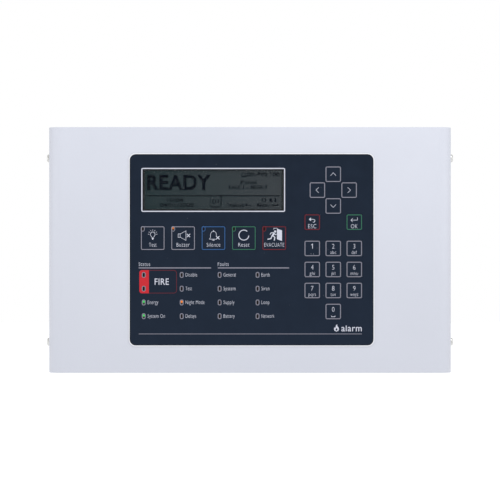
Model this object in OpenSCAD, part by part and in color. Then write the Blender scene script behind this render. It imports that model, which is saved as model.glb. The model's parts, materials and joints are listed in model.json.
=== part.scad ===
// Fire alarm control panel for wall mounting.
// X runs to the right, Y from the front face (negative) to the wall (zero), Z up.
// The origin is the middle of the back box's wall face.

/* [Case] */
// Overall width
case_w = 384; // [372:1:480]
// Overall height
case_h = 234; // [234:1:300]
// Depth from the wall to the face of the front sheet
case_d = 100; // [98:1:140]
// Thickness of the sheet steel
sheet_t = 1.2; // [1:0.1:1.5]
// Outside radius of the cover's two upright bends
bend_r = 14; // [8:1:18]
// Depth of the cover's sides, from its face
cover_side = 50; // [44:1:70]
// Gap between the cover and the back box
cover_gap = 0.3; // [0.2:0.1:0.5]
// Height of the lips behind the cover's top and bottom edges
lip_h = 12; // [6:1:14]

/* [Fixings] */
// Distance between the wall holes, across
wall_hole_w = 350; // [340:1:352]
// Distance between the wall holes, upright
wall_hole_h = 200; // [180:1:205]
// Diameter of a wall hole
wall_hole_d = 5.5; // [4.5:0.1:7]
// Distance of the cover screws from the face
cover_screw_depth = 26; // [20:1:32]
// Height of the cover screws above and below the middle
cover_screw_z = 88; // [60:1:95]
// Diameter of a cover screw's thread
cover_screw_d = 4; // [3:0.5:5]
// Diameter of a cover screw's head
cover_head_d = 7.6; // [7:0.1:9]
// Height of a cover screw's head
cover_head_h = 2.6; // [2:0.1:3.2]
// Diameter of a cable knock-out
knockout_d = 20; // [16:1:26]
// Distance of the cable knock-outs from the wall
knockout_y = 30; // [24:1:45]

/* [Overlay] */
// Width of the overlay
overlay_w = 232; // [230:1:280]
// Height of the overlay
overlay_h = 182; // [180:1:200]
// Corner radius of the overlay
overlay_r = 5.7; // [2:0.1:12]
// Thickness of the overlay
overlay_t = 0.4; // [0.2:0.1:0.8]
// Middle of the overlay, across
overlay_x = 1.5; // [-4:0.5:4]
// Middle of the overlay, upright
overlay_z = 0.2; // [-2:0.1:2]

/* [Display] */
// Width of the display window
window_w = 134.4; // [110:0.1:136]
// Height of the display window
window_h = 39.3; // [30:0.1:44]
// Middle of the window from the overlay's middle, across
window_x = -36.5; // [-40:0.1:-36]
// Middle of the window from the overlay's middle, upright
window_z = 57.2; // [57:0.1:60]
// Thickness of the window pane
pane_t = 1.5; // [1:0.1:2]
// Depth of the display behind its pane
lcd_depth = 8.5; // [6:0.1:10]
// Width of the display's board
lcd_board_w = 180; // [176:1:182]
// Height of the display's board
lcd_board_h = 65; // [60:1:66]

/* [Keys] */
// Side of a function key
wide_key = 22.9; // [18:0.1:25]
// Side of an arrow, digit, escape or OK key
small_key = 15; // [12:0.1:17]
// Distance between function keys
function_pitch = 28.9; // [28:0.1:29]
// Distance between digit keys
pad_pitch = 20; // [19.5:0.1:20.5]
// Distance of an arrow key from the middle of the four
arrow_reach = 15.1; // [14:0.1:16]
// How far a key travels
key_travel = 0.4; // [0.2:0.1:0.5]
// Gap round a key
key_gap = 0.15; // [0.1:0.05:0.3]

/* [Lights] */
// Width of a light slot
light_w = 2.1; // [1.6:0.1:2.6]
// Height of a light slot
light_h = 3.6; // [3:0.1:5]
// Distance between light columns
light_pitch_x = 36.1; // [30:0.1:37]
// Distance between light rows
light_pitch_z = 13.1; // [10:0.1:14]

/* [Batteries] */
// Length of a battery
battery_w = 151; // [130:1:154]
// Depth of a battery
battery_d = 65; // [50:1:66]
// Height of a battery's case
battery_h = 94; // [80:1:95]

/* [Power supply] */
// Width of the power supply
supply_w = 82; // [70:1:84]
// Height of the power supply
supply_h = 99; // [85:1:99]
// Depth of the power supply
supply_d = 30; // [24:1:36]

/* [Hidden] */
$fn = 48;
past = 1;          // how far a cut runs past the face it opens
small = 0.05;      // clearance between pieces that are fitted together
board_t = 1.6;     // circuit boards
ribbon_t = 0.9;    // flat cable
ribbon_w = 20.3;

// Where the walls and the sheets lie
box_w = case_w - 2*(sheet_t + cover_gap);
box_front = -(case_d - sheet_t - cover_gap);
box_r = bend_r - sheet_t - cover_gap;
sheet_back = -case_d + sheet_t;
cover_screw_y = -case_d + cover_screw_depth;
side_front = -case_d + bend_r + 2;
wall_in = -sheet_t;
floor_in = -case_h/2 + sheet_t;

// Cover screws, their slots and clinch nuts
slot_gap = 0.25;
nut_r = 4;
nut_len = 4;
nut_pilot_r = 2.9;
cover_screw_len = 10;
recess_share = 0.55;

// Keys: a cap through the sheet, a flange behind it and a stem into its switch
cap_r = 1.6;
flange_t = 1;
flange_rim = 0.6;
stem_r = 1.6;
switch_w = 6;
switch_t = 3.5;
switch_r = 1.8;
switch_well = 2;

// The display board and what stands on it
board_gap = 8;
board_front = sheet_back + board_gap;
board_back = board_front + board_t;
board_left = -overlay_w/2 + 4;
board_right = overlay_w/2 - 1;
board_low = -overlay_h/2 + 7;
board_high = overlay_h/2 - 5;
notch_x = window_x + lcd_board_w/2 + 1;
notch_z = window_z - lcd_board_h/2 - 1;

// Lights: a guide through the sheet, a lamp behind it and a spacer under the lamp
guide_rim = 0.7;
guide_t = 0.8;
lamp_r = 1.5;
lamp_tip = sheet_back + 1.8;
lamp_h = 4.5;
lamp_foot_r = 1.9;
lamp_foot_t = 1;

// The display: pane, bezel, panel and board
pane_rim = 4;
bezel_w = 156;
bezel_h = 56;
bezel_t = 0.8;
pane_back = sheet_back + pane_t;
bezel_front = pane_back + 0.2;
lcd_board_front = bezel_front + lcd_depth;
lcd_board_back = lcd_board_front + board_t;
lcd_hole_x = 82;
lcd_hole_z = 29;

// Hexagon pillars and the M3 screws in them
hex_r = 5.5/sqrt(3);
m3_r = 1.5;
m3_hole_r = 1.7;
m3_bore_r = 1.55;
m3_head_r = 2.8;
m3_head_h = 2;
m3_len = 6;
bore_len = 7;
pillar_h = 8;

// Key positions, from the overlay's middle: [name, x, z, side]
pad_x = 77.7;
arrow_z = 56.8;
enter_z = 26.3;
digit_z = 1.3;
function_x = -94.05;
function_z = 11.1;
function_names = ["key_lamp_test", "key_buzzer", "key_silence", "key_reset", "key_evacuate"];
arrow_names = ["key_up", "key_down", "key_left", "key_right"];
arrow_ways = [[0, 1], [0, -1], [-1, 0], [1, 0]];
function_keys = [for (i = [0:4]) [function_names[i], function_x + i*function_pitch, function_z, wide_key]];
arrow_keys = [for (i = [0:3]) [arrow_names[i], pad_x + arrow_ways[i][0]*arrow_reach,
                               arrow_z + arrow_ways[i][1]*arrow_reach, small_key]];
enter_keys = [["key_escape", pad_x - pad_pitch, enter_z, small_key],
              ["key_ok", pad_x + pad_pitch, enter_z, small_key]];
function digit_column(n) = n == 0 ? 0 : (n - 1)%3 - 1;
function digit_row(n) = n == 0 ? 3 : floor((n - 1)/3);
digit_keys = [for (n = [0:9]) [str("key_", n), pad_x + digit_column(n)*pad_pitch,
                               digit_z - digit_row(n)*pad_pitch, small_key]];
keys = concat(function_keys, arrow_keys, enter_keys, digit_keys);

// Light positions, from the overlay's middle
light_x = -102.6;
light_z = -23.9;
key_light_x = 1.95;   // from a function key's left edge
key_light_z = 2.6;    // from its top edge
lights = [for (c = [0:3], r = [0:3]) [light_x + c*light_pitch_x, light_z - r*light_pitch_z]];
key_lights = [for (k = function_keys) [k[1] - k[3]/2 + key_light_x, k[2] + k[3]/2 - key_light_z]];

// Pillars on the cover, from the overlay's middle
board_pillars_at = [
    [board_left + 4, board_low + 5], [board_left + 4, -6], [pad_x - 35.7, board_low + 5],
    [pad_x - 35.7, -6], [board_right - 4.5, board_low + 5], [board_right - 4.5, 13.8],
    [board_right - 4.5, board_high - 5], [notch_x + 5.5, board_high - 5]
];
lcd_pillars_at = [for (x = [-1, 1], z = [-1, 1]) [window_x + x*lcd_hole_x, window_z + z*lcd_hole_z]];

// Batteries stand on the box's floor, side by side
battery_gap = 3;
battery_room = 0.5;
battery_back = wall_in - battery_room;
battery_top = floor_in + battery_room + battery_h;
battery_mid = (battery_gap + battery_w)/2;
tab_x = battery_w/2 - 12;
tab_y = battery_back - battery_d + 10;
tab_w = 6.3;
tab_t = 0.8;
tab_h = 6;
sleeve_t = 0.8;
bracket_t = 1.2;
bracket_h = 20;
bracket_z = floor_in + 40;
bracket_half = battery_mid + battery_w/2 + 0.8;
bracket_front = battery_back - battery_d - 0.5;
bracket_foot = 17;

// The main board stands above the batteries
main_w = 230;
main_h = 110;
main_x = 45;
main_low = battery_top + 9.3;
main_z = main_low + main_h/2;
main_back = wall_in - pillar_h;
main_front = main_back - board_t;
main_pillars_at = [for (x = [-1, 0, 1], z = [-1, 1]) [main_x + x*(main_w/2 - 5), main_z + z*(main_h/2 - 5)]];
bracket_pillars_at = [for (x = [-1, 1]) [x*(bracket_half + bracket_foot - 6), bracket_z]];

// Terminal blocks of four ways
way = 5;
ways = 4;
block_w = ways*way;
block_h = 12;
block_d = 12;
block_pitch = 22;
clamp_r = 1.9;
top_blocks = [for (g = [-50, 60], i = [0:3]) [g + i*block_pitch, main_z + main_h/2 - 3]];
battery_block = [122, main_low + 3];
screw_rows = concat(top_blocks, [[battery_block[0], battery_block[1] + block_h]]);

// Relays, capacitors and chips on the main board: [x, height above the board's lower edge, ...]
relays_at = [for (i = [0:3]) [62 + i*24, 79]];
relay = [19, 15.5, 15.5];
capacitors_at = [for (i = [0:3]) [-45 + i*20, 15]];
capacitor_r = 6.2;
capacitor_h = 20;
chips = [
    [122, 40, 14, 14, 1.6], [140, 58, 10, 7, 1.8], [140, 28, 8, 12, 2.2], [104, 60, 12, 8, 1.8], [50, 24, 7, 10, 2]
];
card_w = 90;
card_h = 52;
card_x = -15;
card_z = main_low + 61;
card_gap = 11;
card_front = main_front - card_gap - board_t;
card_post = 4;
card_chip = [12, 8, 2];

// Ribbon cable: out of the main board's header, forwards, and up to the display board's header
ribbon_x = overlay_x + 80.5;
ribbon_r = 4;
header_w = 30;
header_h = 9;
header_d = 9;
header_floor = 1.2;
header_wall = 1.2;
pin_s = 0.64;
pin_pitch = 2.54;
pin_columns = 8;
pin_len = 6.5;
plug_w = 25.4;
plug_h = 6.2;
plug_d = 12;
plug_lift = 1.5;
main_header_z = main_low + 32;
display_header_z = overlay_z + 57;
cable_back = main_front - plug_lift - plug_d + 2.5;
cable_front = board_back + plug_lift + plug_d - 2.5;
cable_turn_z = (main_header_z + display_header_z)/2;

// Flat link from the display's board to the display board
link_w = 25.4;
link_t = 0.8;
link_x = -58;
link_reach = 5;
link_rise = 5;

// Power supply on four pillars, beside the main board
supply_x = -119;
supply_z = main_low + 8 + supply_h/2;
supply_ear = 8;
supply_plate_t = 1.2;
supply_end = 14;
supply_end_d = 15;
supply_ways = 5;
supply_pillars_at = [for (x = [-1, 1], z = [-1, 1])
    [supply_x + x*(supply_w/2 - 8), supply_z + z*(supply_h/2 + supply_ear/2)]];

// Mains terminal with its fuse, and the earth stud, between the power supply and the side wall
mains_w = 22;
mains_h = 50;
mains_d = 18;
mains_x = -175;
mains_z = main_low + 56;
fuse_r = 2.6;
fuse_len = 20;
fuse_gap = 0.2;
fuse_bed = 2*(fuse_r + fuse_gap);
fuse_rise = 8;
stud_r = 2.5;
stud_len = 16;
stud_z = main_low + 8;
stud_nut_r = 4.6;
stud_nut_t = 4;
ring_r = 4.4;
ring_t = 1;
ring_y = wall_in - 6.5;
ring_reach = 6.5;

// Lead routes, in round numbers: [x, y from the wall, z above the batteries' tops]
lead_r = 1.3;
lead_sides = 8;
lead_steps = 5;
lead_wall = 1.2;      // the sheet that the routes are laid out for, so they stay in front of another
red_route = [
    [140, -57, 7.5], [140, -57, 13], [136, -50, 16], [130, -38, 14], [125, -26, 8], [124.5, -19, 6],
    [124.5, -17, 9], [124.5, -17, 15]
];
black_route = [
    [-140, -57, 7.5], [-140, -58, 14], [-132, -60, 18], [-100, -62, 20], [-60, -63, 21], [-10, -63, 22],
    [40, -60, 20], [90, -48, 17], [110, -34, 13], [118, -24, 7], [119.5, -19, 6], [119.5, -17, 9],
    [119.5, -17, 15]
];
link_route = [
    [-14, -57, 7.5], [-13, -57, 13], [-6, -57, 16], [6, -57, 16], [13, -57, 13], [14, -57, 7.5]
];
live_route = [
    [-170, -14, 39.5], [-170, -14, 36], [-169, -20, 28], [-162, -28, 17], [-151, -32, 12], [-147, -30, 16],
    [-147, -27, 21], [-147, -27, 24]
];
neutral_route = [
    [-175, -14, 39.5], [-175, -14, 36], [-172, -24, 25], [-160, -33, 10], [-142, -35, 8], [-133, -31, 14],
    [-133, -27, 21], [-133, -27, 24]
];
earth_route = [
    [-180, -14, 39.5], [-180, -14, 36], [-179, -11, 31], [-176, -8, 27], [-175, -7.2, 23]
];
plus_route = [
    [-105, -27, 24], [-105, -28, 18], [-100, -32, 12], [-84, -32, 12], [-70, -28, 16], [-62, -22, 19],
    [-60, -16, 20], [-60, -11, 20]
];
minus_route = [
    [-91, -27, 24], [-91, -29, 18], [-86, -34, 17], [-76, -33, 22], [-68, -28, 26], [-62, -22, 28],
    [-60, -16, 28], [-60, -11, 28]
];

// ---- Helpers ----

// A flat shape stood upright: its front face at y = front, t thick towards the wall
module upright(front, t) translate([0, front + t, 0]) rotate([90, 0, 0]) linear_extrude(t) children();

// The same, measured from the middle of the overlay
module on_face(front, t) translate([overlay_x, 0, overlay_z]) upright(front, t) children();

// A round bar along Y from y = front, len long towards the wall
module bar(r, front, len) translate([0, front, 0]) rotate([-90, 0, 0]) cylinder(r = r, h = len);

// A rectangle with round corners
module rounded(w, h, r) {
    square([w - 2*r, h], center = true);
    square([w, h - 2*r], center = true);
    for (x = [-1, 1], z = [-1, 1]) translate([x*(w/2 - r), z*(h/2 - r)]) circle(r);
}

// A slot with round ends, upright
module slot(w, h) {
    square([w, h - w], center = true);
    for (z = [-1, 1]) translate([0, z*(h - w)/2]) circle(w/2);
}

// Plan of a wall that turns back at both ends, from y = front to y = back
module plan(w, front, back, r) {
    translate([-w/2, front + r]) square([w, back - front - r]);
    translate([-w/2 + r, front]) square([w - 2*r, r + past]);
    for (x = [-1, 1]) translate([x*(w/2 - r), front + r]) circle(r);
}

// A pan-head screw: underside of the head at the origin, head towards +Z, cross recess
module pan_screw(head_r, head_h, shank_r, len) {
    edge = head_h*0.6;
    difference() {
        rotate_extrude() {
            translate([0, -len]) square([shank_r, len]);
            square([head_r, head_h - edge]);
            square([head_r - edge, head_h]);
            intersection() {
                translate([head_r - edge, head_h - edge]) circle(edge);
                square([head_r, head_h]);
            }
        }
        for (a = [0, 90]) rotate([0, 0, a]) translate([0, 0, head_h])
            cube([head_r*2*recess_share, head_r*0.22, head_h], center = true);
    }
}

// A hexagon pillar along Y with a blind bore in the end away from the sheet it stands on
module pillar(base, len, way) {
    tip = base + way*len;
    difference() {
        translate([0, min(base, tip), 0]) rotate([-90, 0, 0]) cylinder(r = hex_r, h = len, $fn = 6);
        bar(m3_bore_r, way > 0 ? tip - bore_len : tip - past, bore_len + past);
    }
}

// A box header: shroud open towards the side that way points to, and its pins
module header(base, way) {
    mouth = base + way*header_d;
    difference() {
        upright(min(base, mouth), header_d) square([header_w, header_h], center = true);
        upright(way > 0 ? base + header_floor : mouth - past, header_d - header_floor + past)
            square([header_w - 2*header_wall, header_h - 2*header_wall], center = true);
    }
    for (c = [0:pin_columns - 1], z = [-1, 1])
        translate([(c - (pin_columns - 1)/2)*pin_pitch, 0, z*pin_pitch/2])
            upright(way > 0 ? base + header_floor : base - header_floor - pin_len, pin_len)
                square(pin_s, center = true);
}

// The plug that goes into a header, with a slot for the cable and a pocket for the pins
module plug(base, way, cable_y) {
    mouth = base + way*plug_lift;
    pocket = [pin_columns*pin_pitch, pin_pitch + 2*pin_s];
    difference() {
        upright(min(mouth, mouth + way*plug_d), plug_d) square([plug_w, plug_h], center = true);
        upright(way > 0 ? mouth - past : mouth - pin_len, pin_len + past) square(pocket, center = true);
        upright(cable_y - ribbon_t/2 - small, ribbon_t + 2*small)
            square([ribbon_w + 2*small, plug_h + 2*past], center = true);
    }
}

// A point on the smooth curve through four points, at t from 0 to 1 between b and c
function curve(a, b, c, d, t) = 0.5*(2*b + (c - a)*t + (2*a - 5*b + 4*c - d)*t*t + (3*b - a - 3*c + d)*t*t*t);

// The points of a smooth route through the given ones
function smooth(p, n) = let (last = len(p) - 1) concat(
    [for (i = [0:last - 1], j = [0:n - 1])
        curve(p[max(i - 1, 0)], p[i], p[i + 1], p[min(i + 2, last)], j/n)],
    [p[last]]);

function unit(v) = v/norm(v);
function along(p, i) = unit(p[min(i + 1, len(p) - 1)] - p[max(i - 1, 0)]);

// Sideways direction at each point, carried along the route so that the tube doesn't twist
function carry(p, i, side) = let (t = along(p, i)) unit(side - (side*t)*t);
function first_side(p) = carry(p, 0, abs(along(p, 0)[0]) < 0.9 ? [1, 0, 0] : [0, 1, 0]);
function sides_of(p) = [
    for (i = 0, s = first_side(p); i < len(p); i = i + 1, s = i < len(p) ? carry(p, i, s) : s) s
];

// A lead: a round tube swept along a smooth route, which goes with the back sheet and the batteries' tops
module lead(route) {
    p = smooth([for (q = route) [q[0], wall_in + lead_wall + q[1], battery_top + q[2]]], lead_steps);
    s = sides_of(p);
    n = len(p);
    m = lead_sides;
    rings = [for (i = [0:n - 1], j = [0:m - 1]) let (t = along(p, i), a = 360*j/m)
        p[i] + lead_r*(cos(a)*s[i] + sin(a)*cross(t, s[i]))];
    walls = [for (i = [0:n - 2], j = [0:m - 1], k = [0, 1]) let (q = i*m, j2 = (j + 1)%m)
        k == 0 ? [q + j, q + m + j, q + j2] : [q + j2, q + m + j, q + m + j2]];
    ends = [[for (j = [0:m - 1]) j], [for (j = [m - 1:-1:0]) (n - 1)*m + j]];
    polyhedron(points = rings, faces = concat(walls, ends));
}

// ---- Back box ----

// A knock-out: a round slit with two bridges, looking along Z
module knockout_slit() difference() {
    circle(knockout_d/2);
    circle(knockout_d/2 - 0.5);
    square([3, knockout_d + past], center = true);
}

module back_box() color("gainsboro") difference() {
    union() {
        upright(-sheet_t, sheet_t) square([box_w, case_h], center = true);
        for (z = [-case_h/2, case_h/2 - sheet_t]) translate([0, 0, z]) linear_extrude(sheet_t)
            plan(box_w, box_front, 0, box_r);
        for (x = [-box_w/2, box_w/2 - sheet_t]) translate([x, side_front, -case_h/2])
            cube([sheet_t, -side_front, case_h]);
        for (z = [-case_h/2, case_h/2 - lip_h - sheet_t]) translate([-box_w/2 + 2*bend_r, box_front, z])
            cube([box_w - 4*bend_r, sheet_t, lip_h + sheet_t]);
    }
    for (x = [-1, 1], z = [-1, 1]) translate([x*wall_hole_w/2, 0, z*wall_hole_h/2])
        bar(wall_hole_d/2, -sheet_t - past, sheet_t + 2*past);
    for (x = [-1, 1], z = [-1, 1]) translate([x*box_w/2, cover_screw_y, z*cover_screw_z]) rotate([0, 90, 0])
        cylinder(r = nut_pilot_r + small, h = 4*sheet_t, center = true);
    for (i = [-3.5:3.5]) translate([i*2*knockout_d, -knockout_y, case_h/2 - sheet_t - past])
        linear_extrude(sheet_t + 2*past) knockout_slit();
}

module cover_screws() color("silver") for (x = [-1, 1], z = [-1, 1])
    translate([x*(case_w/2 + small), cover_screw_y, z*cover_screw_z]) rotate([0, x*90, 0])
        pan_screw(cover_head_d/2, cover_head_h, cover_screw_d/2, cover_screw_len);

module clinch_nuts() color("darkgray") for (x = [-1, 1], z = [-1, 1])
    translate([x*(box_w/2 - sheet_t), cover_screw_y, z*cover_screw_z]) rotate([0, -x*90, 0]) difference() {
        union() {
            cylinder(r = nut_r, h = nut_len);
            translate([0, 0, -sheet_t + small]) cylinder(r = nut_pilot_r, h = sheet_t);
        }
        translate([0, 0, -sheet_t - past])
            cylinder(r = cover_screw_d/2 + small, h = nut_len + sheet_t + 2*past);
    }

// ---- Inside the back box ----

module board_pillars() color("goldenrod")
    for (p = concat(main_pillars_at, supply_pillars_at, bracket_pillars_at))
        translate([p[0], 0, p[1]]) pillar(wall_in, pillar_h, -1);

module board_screws() color("silver") {
    for (p = main_pillars_at) m3_screw(p, main_front);
    for (p = supply_pillars_at) m3_screw(p, main_back - supply_plate_t);
    for (p = bracket_pillars_at) m3_screw(p, main_back - bracket_t);
}

// An M3 screw into a pillar on the back wall, its head on the plane y = seat
module m3_screw(p, seat) translate([p[0], seat, p[1]]) rotate([90, 0, 0])
    pan_screw(m3_head_r, m3_head_h, m3_r, m3_len);

module main_board() color("darkgreen") upright(main_front, board_t) difference() {
    translate([main_x, main_z]) square([main_w, main_h], center = true);
    for (p = main_pillars_at) translate(p) circle(m3_hole_r);
}

// One terminal block, its wire openings towards +Z
module terminal_block() difference() {
    upright(main_front - block_d, block_d) square([block_w, block_h], center = true);
    for (i = [0:ways - 1]) translate([(i - (ways - 1)/2)*way, 0, 0]) {
        bar(clamp_r + small, main_front - block_d - past, block_d*0.6 + past);
        translate([-clamp_r, main_front - block_d*0.72, 0]) cube([2*clamp_r, block_d*0.4, block_h]);
    }
}

module terminal_blocks() color("seagreen") {
    for (b = top_blocks) translate([b[0], 0, b[1] - block_h/2]) terminal_block();
    translate([battery_block[0], 0, battery_block[1] + block_h/2]) mirror([0, 0, 1]) terminal_block();
}

module terminal_screws() color("silver") for (b = screw_rows)
    for (i = [0:ways - 1]) translate([b[0] + (i - (ways - 1)/2)*way, 0, b[1] - block_h/2]) difference() {
        bar(clamp_r, main_front - block_d*0.8, block_d*0.35);
        translate([0, main_front - block_d*0.8, 0]) cube([3*clamp_r, 1.4, 0.6], center = true);
    }

module relays() color("black") for (r = relays_at)
    translate([r[0], 0, main_low + r[1]]) difference() {
        upright(main_front - relay[2], relay[2]) rounded(relay[0], relay[1], 0.8);
        bar(0.8, main_front - relay[2] - past, past + 0.6);
    }

module capacitors() color("darkslategray") for (c = capacitors_at)
    translate([c[0], main_front, main_low + c[1]]) rotate([90, 0, 0]) rotate_extrude() difference() {
        square([capacitor_r, capacitor_h]);
        translate([capacitor_r + 0.5, capacitor_h - 3]) circle(1);
        translate([0, capacitor_h - 0.4]) square([capacitor_r - 1, 1]);
    }

module board_chips() color("dimgray") for (c = chips)
    translate([c[0], 0, main_low + c[1]]) upright(main_front - c[4], c[4])
        square([c[2], c[3]], center = true);

module loop_card() color("darkgreen") {
    translate([card_x, 0, card_z]) upright(card_front, board_t) square([card_w, card_h], center = true);
    for (x = [-1, 1], z = [-1, 1])
        translate([card_x + x*(card_w/2 - card_post), 0, card_z + z*(card_h/2 - card_post)])
            bar(card_post/2, card_front + board_t, card_gap);
    translate([card_x, 0, card_z - card_h/2 + card_post]) upright(card_front + board_t, card_gap)
        square([card_w*0.4, card_post + 1], center = true);
    for (x = [-1, 0, 1]) translate([card_x + x*card_w/4, 0, card_z])
        upright(card_front - card_chip[2], card_chip[2]) square([card_chip[0], card_chip[1]], center = true);
}

// ---- Ribbon cable ----

// A quarter ring of cable round the given middle, in the quadrant that qx and qy point to
module quarter(qx, qy) intersection() {
    difference() {
        circle(ribbon_r + ribbon_t/2);
        circle(ribbon_r - ribbon_t/2);
    }
    translate([qx > 0 ? 0 : -2*ribbon_r, qy > 0 ? 0 : -2*ribbon_r]) square(2*ribbon_r);
}

// Side view of the cable: x of this shape is Y, y of it is Z
module cable_side() {
    half = ribbon_t/2;
    low = main_header_z - plug_h/2;
    high = display_header_z + plug_h/2;
    translate([cable_back - half, low]) square([ribbon_t, cable_turn_z - ribbon_r - low]);
    translate([cable_back - ribbon_r, cable_turn_z - ribbon_r]) quarter(1, 1);
    translate([cable_front + ribbon_r, cable_turn_z - half])
        square([cable_back - cable_front - 2*ribbon_r, ribbon_t]);
    translate([cable_front + ribbon_r, cable_turn_z + ribbon_r]) quarter(-1, -1);
    translate([cable_front - half, cable_turn_z + ribbon_r])
        square([ribbon_t, high - cable_turn_z - ribbon_r]);
}

module ribbon_cable() color("lightgray") translate([ribbon_x - ribbon_w/2, 0, 0])
    rotate([90, 0, 90]) linear_extrude(ribbon_w) cable_side();

module ribbon_plugs() color("black") {
    translate([ribbon_x, 0, main_header_z]) {
        header(main_front, -1);
        plug(main_front, -1, cable_back);
    }
    translate([ribbon_x, 0, display_header_z]) plug(board_back, 1, cable_front);
}

module display_header() color("black") translate([ribbon_x, 0, display_header_z]) header(board_back, 1);

// ---- Power ----

module power_supply() color("lightsteelblue") {
    body_d = supply_d - supply_plate_t;
    low = -supply_h/2;
    translate([supply_x, 0, supply_z]) {
        upright(main_back - supply_plate_t, supply_plate_t) difference() {
            square([supply_w, supply_h + 2*supply_ear], center = true);
            for (x = [-1, 1], z = [-1, 1])
                translate([x*(supply_w/2 - 8), z*(supply_h/2 + supply_ear/2)]) circle(m3_hole_r);
        }
        upright(main_back - supply_d, body_d) translate([-supply_w/2, low + supply_end])
            square([supply_w, supply_h - supply_end]);
        difference() {
            upright(main_back - supply_plate_t - supply_end_d, supply_end_d) translate([-supply_w/2 + 3, low])
                square([supply_w - 6, supply_end]);
            for (i = [0:supply_ways - 1])
                translate([(i - (supply_ways - 1)/2)*supply_end, 0, low + supply_end/2])
                    bar(3.2, main_back - supply_plate_t - supply_end_d - past, 3 + past);
        }
    }
}

module mains_terminal() color("ivory") translate([mains_x, 0, mains_z]) difference() {
    upright(wall_in - mains_d, mains_d) rounded(mains_w, mains_h, 1.5);
    upright(wall_in - mains_d - past, fuse_bed + past) translate([0, fuse_rise])
        square([fuse_bed, fuse_len + 2*fuse_gap], center = true);
    for (i = [-1:1]) translate([i*way, 0, -mains_h/2 + 8]) bar(clamp_r, wall_in - mains_d - past, 6 + past);
}

module fuse() color("lightblue")
    translate([mains_x, wall_in - mains_d + fuse_r + fuse_gap, mains_z + fuse_rise - fuse_len/2])
    cylinder(r = fuse_r, h = fuse_len);

module earth_stud() color("goldenrod") translate([mains_x, 0, stud_z]) {
    bar(stud_r, wall_in - stud_len, stud_len);
    for (y = [wall_in - stud_nut_t, ring_y - stud_nut_t - small]) translate([0, y, 0]) rotate([-90, 0, 0])
        cylinder(r = stud_nut_r, h = stud_nut_t, $fn = 6);
}

module battery(x) translate([x, 0, 0]) {
    low = floor_in + battery_room;
    translate([-battery_w/2, battery_back - battery_d, low]) cube([battery_w, battery_d, battery_h - 3]);
    translate([-battery_w/2 + 1, battery_back - battery_d + 1, low])
        cube([battery_w - 2, battery_d - 2, battery_h]);
    for (s = [-1, 1]) translate([s*tab_x - tab_w/2, tab_y - tab_t/2, low])
        cube([tab_w, tab_t, battery_h + tab_h]);
}

module battery_left() color("black") battery(-battery_mid);
module battery_right() color("black") battery(battery_mid);

module battery_bracket() color("silver") {
    low = bracket_z - bracket_h/2;
    translate([-bracket_half - bracket_t, bracket_front - bracket_t, low])
        cube([2*(bracket_half + bracket_t), bracket_t, bracket_h]);
    for (x = [-1, 1]) {
        translate([x*(bracket_half + bracket_t/2) - bracket_t/2, bracket_front - bracket_t, low])
            cube([bracket_t, main_back - bracket_front + bracket_t, bracket_h]);
        upright(main_back - bracket_t, bracket_t) difference() {
            translate([x*(bracket_half + bracket_foot/2), bracket_z])
                square([bracket_foot, bracket_h], center = true);
            translate([x*(bracket_half + bracket_foot - 6), bracket_z]) circle(m3_hole_r);
        }
    }
}

// The push-on sleeve of a battery lead, round its tab
module sleeve(x) translate([x, tab_y, battery_top + 1]) difference() {
    translate([-tab_w/2 - sleeve_t, -tab_t/2 - sleeve_t, 0])
        cube([tab_w + 2*sleeve_t, tab_t + 2*sleeve_t, tab_h + sleeve_t]);
    translate([-tab_w/2 - small, -tab_t/2 - small, -past])
        cube([tab_w + 2*small, tab_t + 2*small, tab_h + past]);
}

module battery_leads() color("firebrick") {
    for (m = [-battery_mid, battery_mid], s = [-1, 1]) sleeve(m + s*tab_x);
    lead(red_route);
    lead(black_route);
    lead(link_route);
}

// The ring of the earth lead, between the two nuts of its stud
module ring_tag() translate([mains_x, 0, stud_z]) difference() {
    union() {
        bar(ring_r, ring_y, ring_t);
        translate([-lead_r, ring_y, 0]) cube([2*lead_r, ring_t, ring_reach]);
    }
    bar(stud_r + small, ring_y - past, ring_t + 2*past);
}

module power_leads() color("saddlebrown") {
    ring_tag();
    lead(live_route);
    lead(neutral_route);
    lead(earth_route);
    lead(plus_route);
    lead(minus_route);
}

// ---- Cover ----

module key_holes(gap) for (k = keys) translate([k[1], k[2]]) rounded(k[3] + 2*gap, k[3] + 2*gap, cap_r + gap);
module light_slots(gap) for (p = lights) translate(p) slot(light_w + 2*gap, light_h + 2*gap);
module window(rim) translate([window_x, window_z]) rounded(window_w + 2*rim, window_h + 2*rim, 1 + rim/2);

module front_cover() color("whitesmoke") difference() {
    translate([0, 0, -case_h/2]) linear_extrude(case_h) difference() {
        plan(case_w, -case_d, -case_d + cover_side, bend_r);
        plan(case_w - 2*sheet_t, sheet_back, past, bend_r - sheet_t);
    }
    on_face(-case_d - past, sheet_t + 2*past) {
        window(0);
        key_holes(key_gap);
        light_slots(2*small);
    }
    for (x = [-1, 1], z = [-1, 1]) translate([x*case_w/2, cover_screw_y, z*cover_screw_z]) {
        rotate([0, 90, 0]) cylinder(r = cover_screw_d/2 + slot_gap, h = 4*sheet_t, center = true);
        translate([-2*sheet_t, 0, -cover_screw_d/2 - slot_gap])
            cube([4*sheet_t, cover_side, cover_screw_d + 2*slot_gap]);
    }
}

module front_overlay() color("midnightblue") on_face(-case_d - overlay_t, overlay_t) difference() {
    rounded(overlay_w, overlay_h, overlay_r);
    window(0);
    key_holes(key_gap);
    light_slots(small);
}

module light_guides() color("lavender") {
    on_face(-case_d - overlay_t, overlay_t + sheet_t) light_slots(0);
    on_face(sheet_back, guide_t) light_slots(guide_rim);
}

module lcd_window() color("lightcyan") on_face(sheet_back, pane_t) window(pane_rim);

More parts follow.
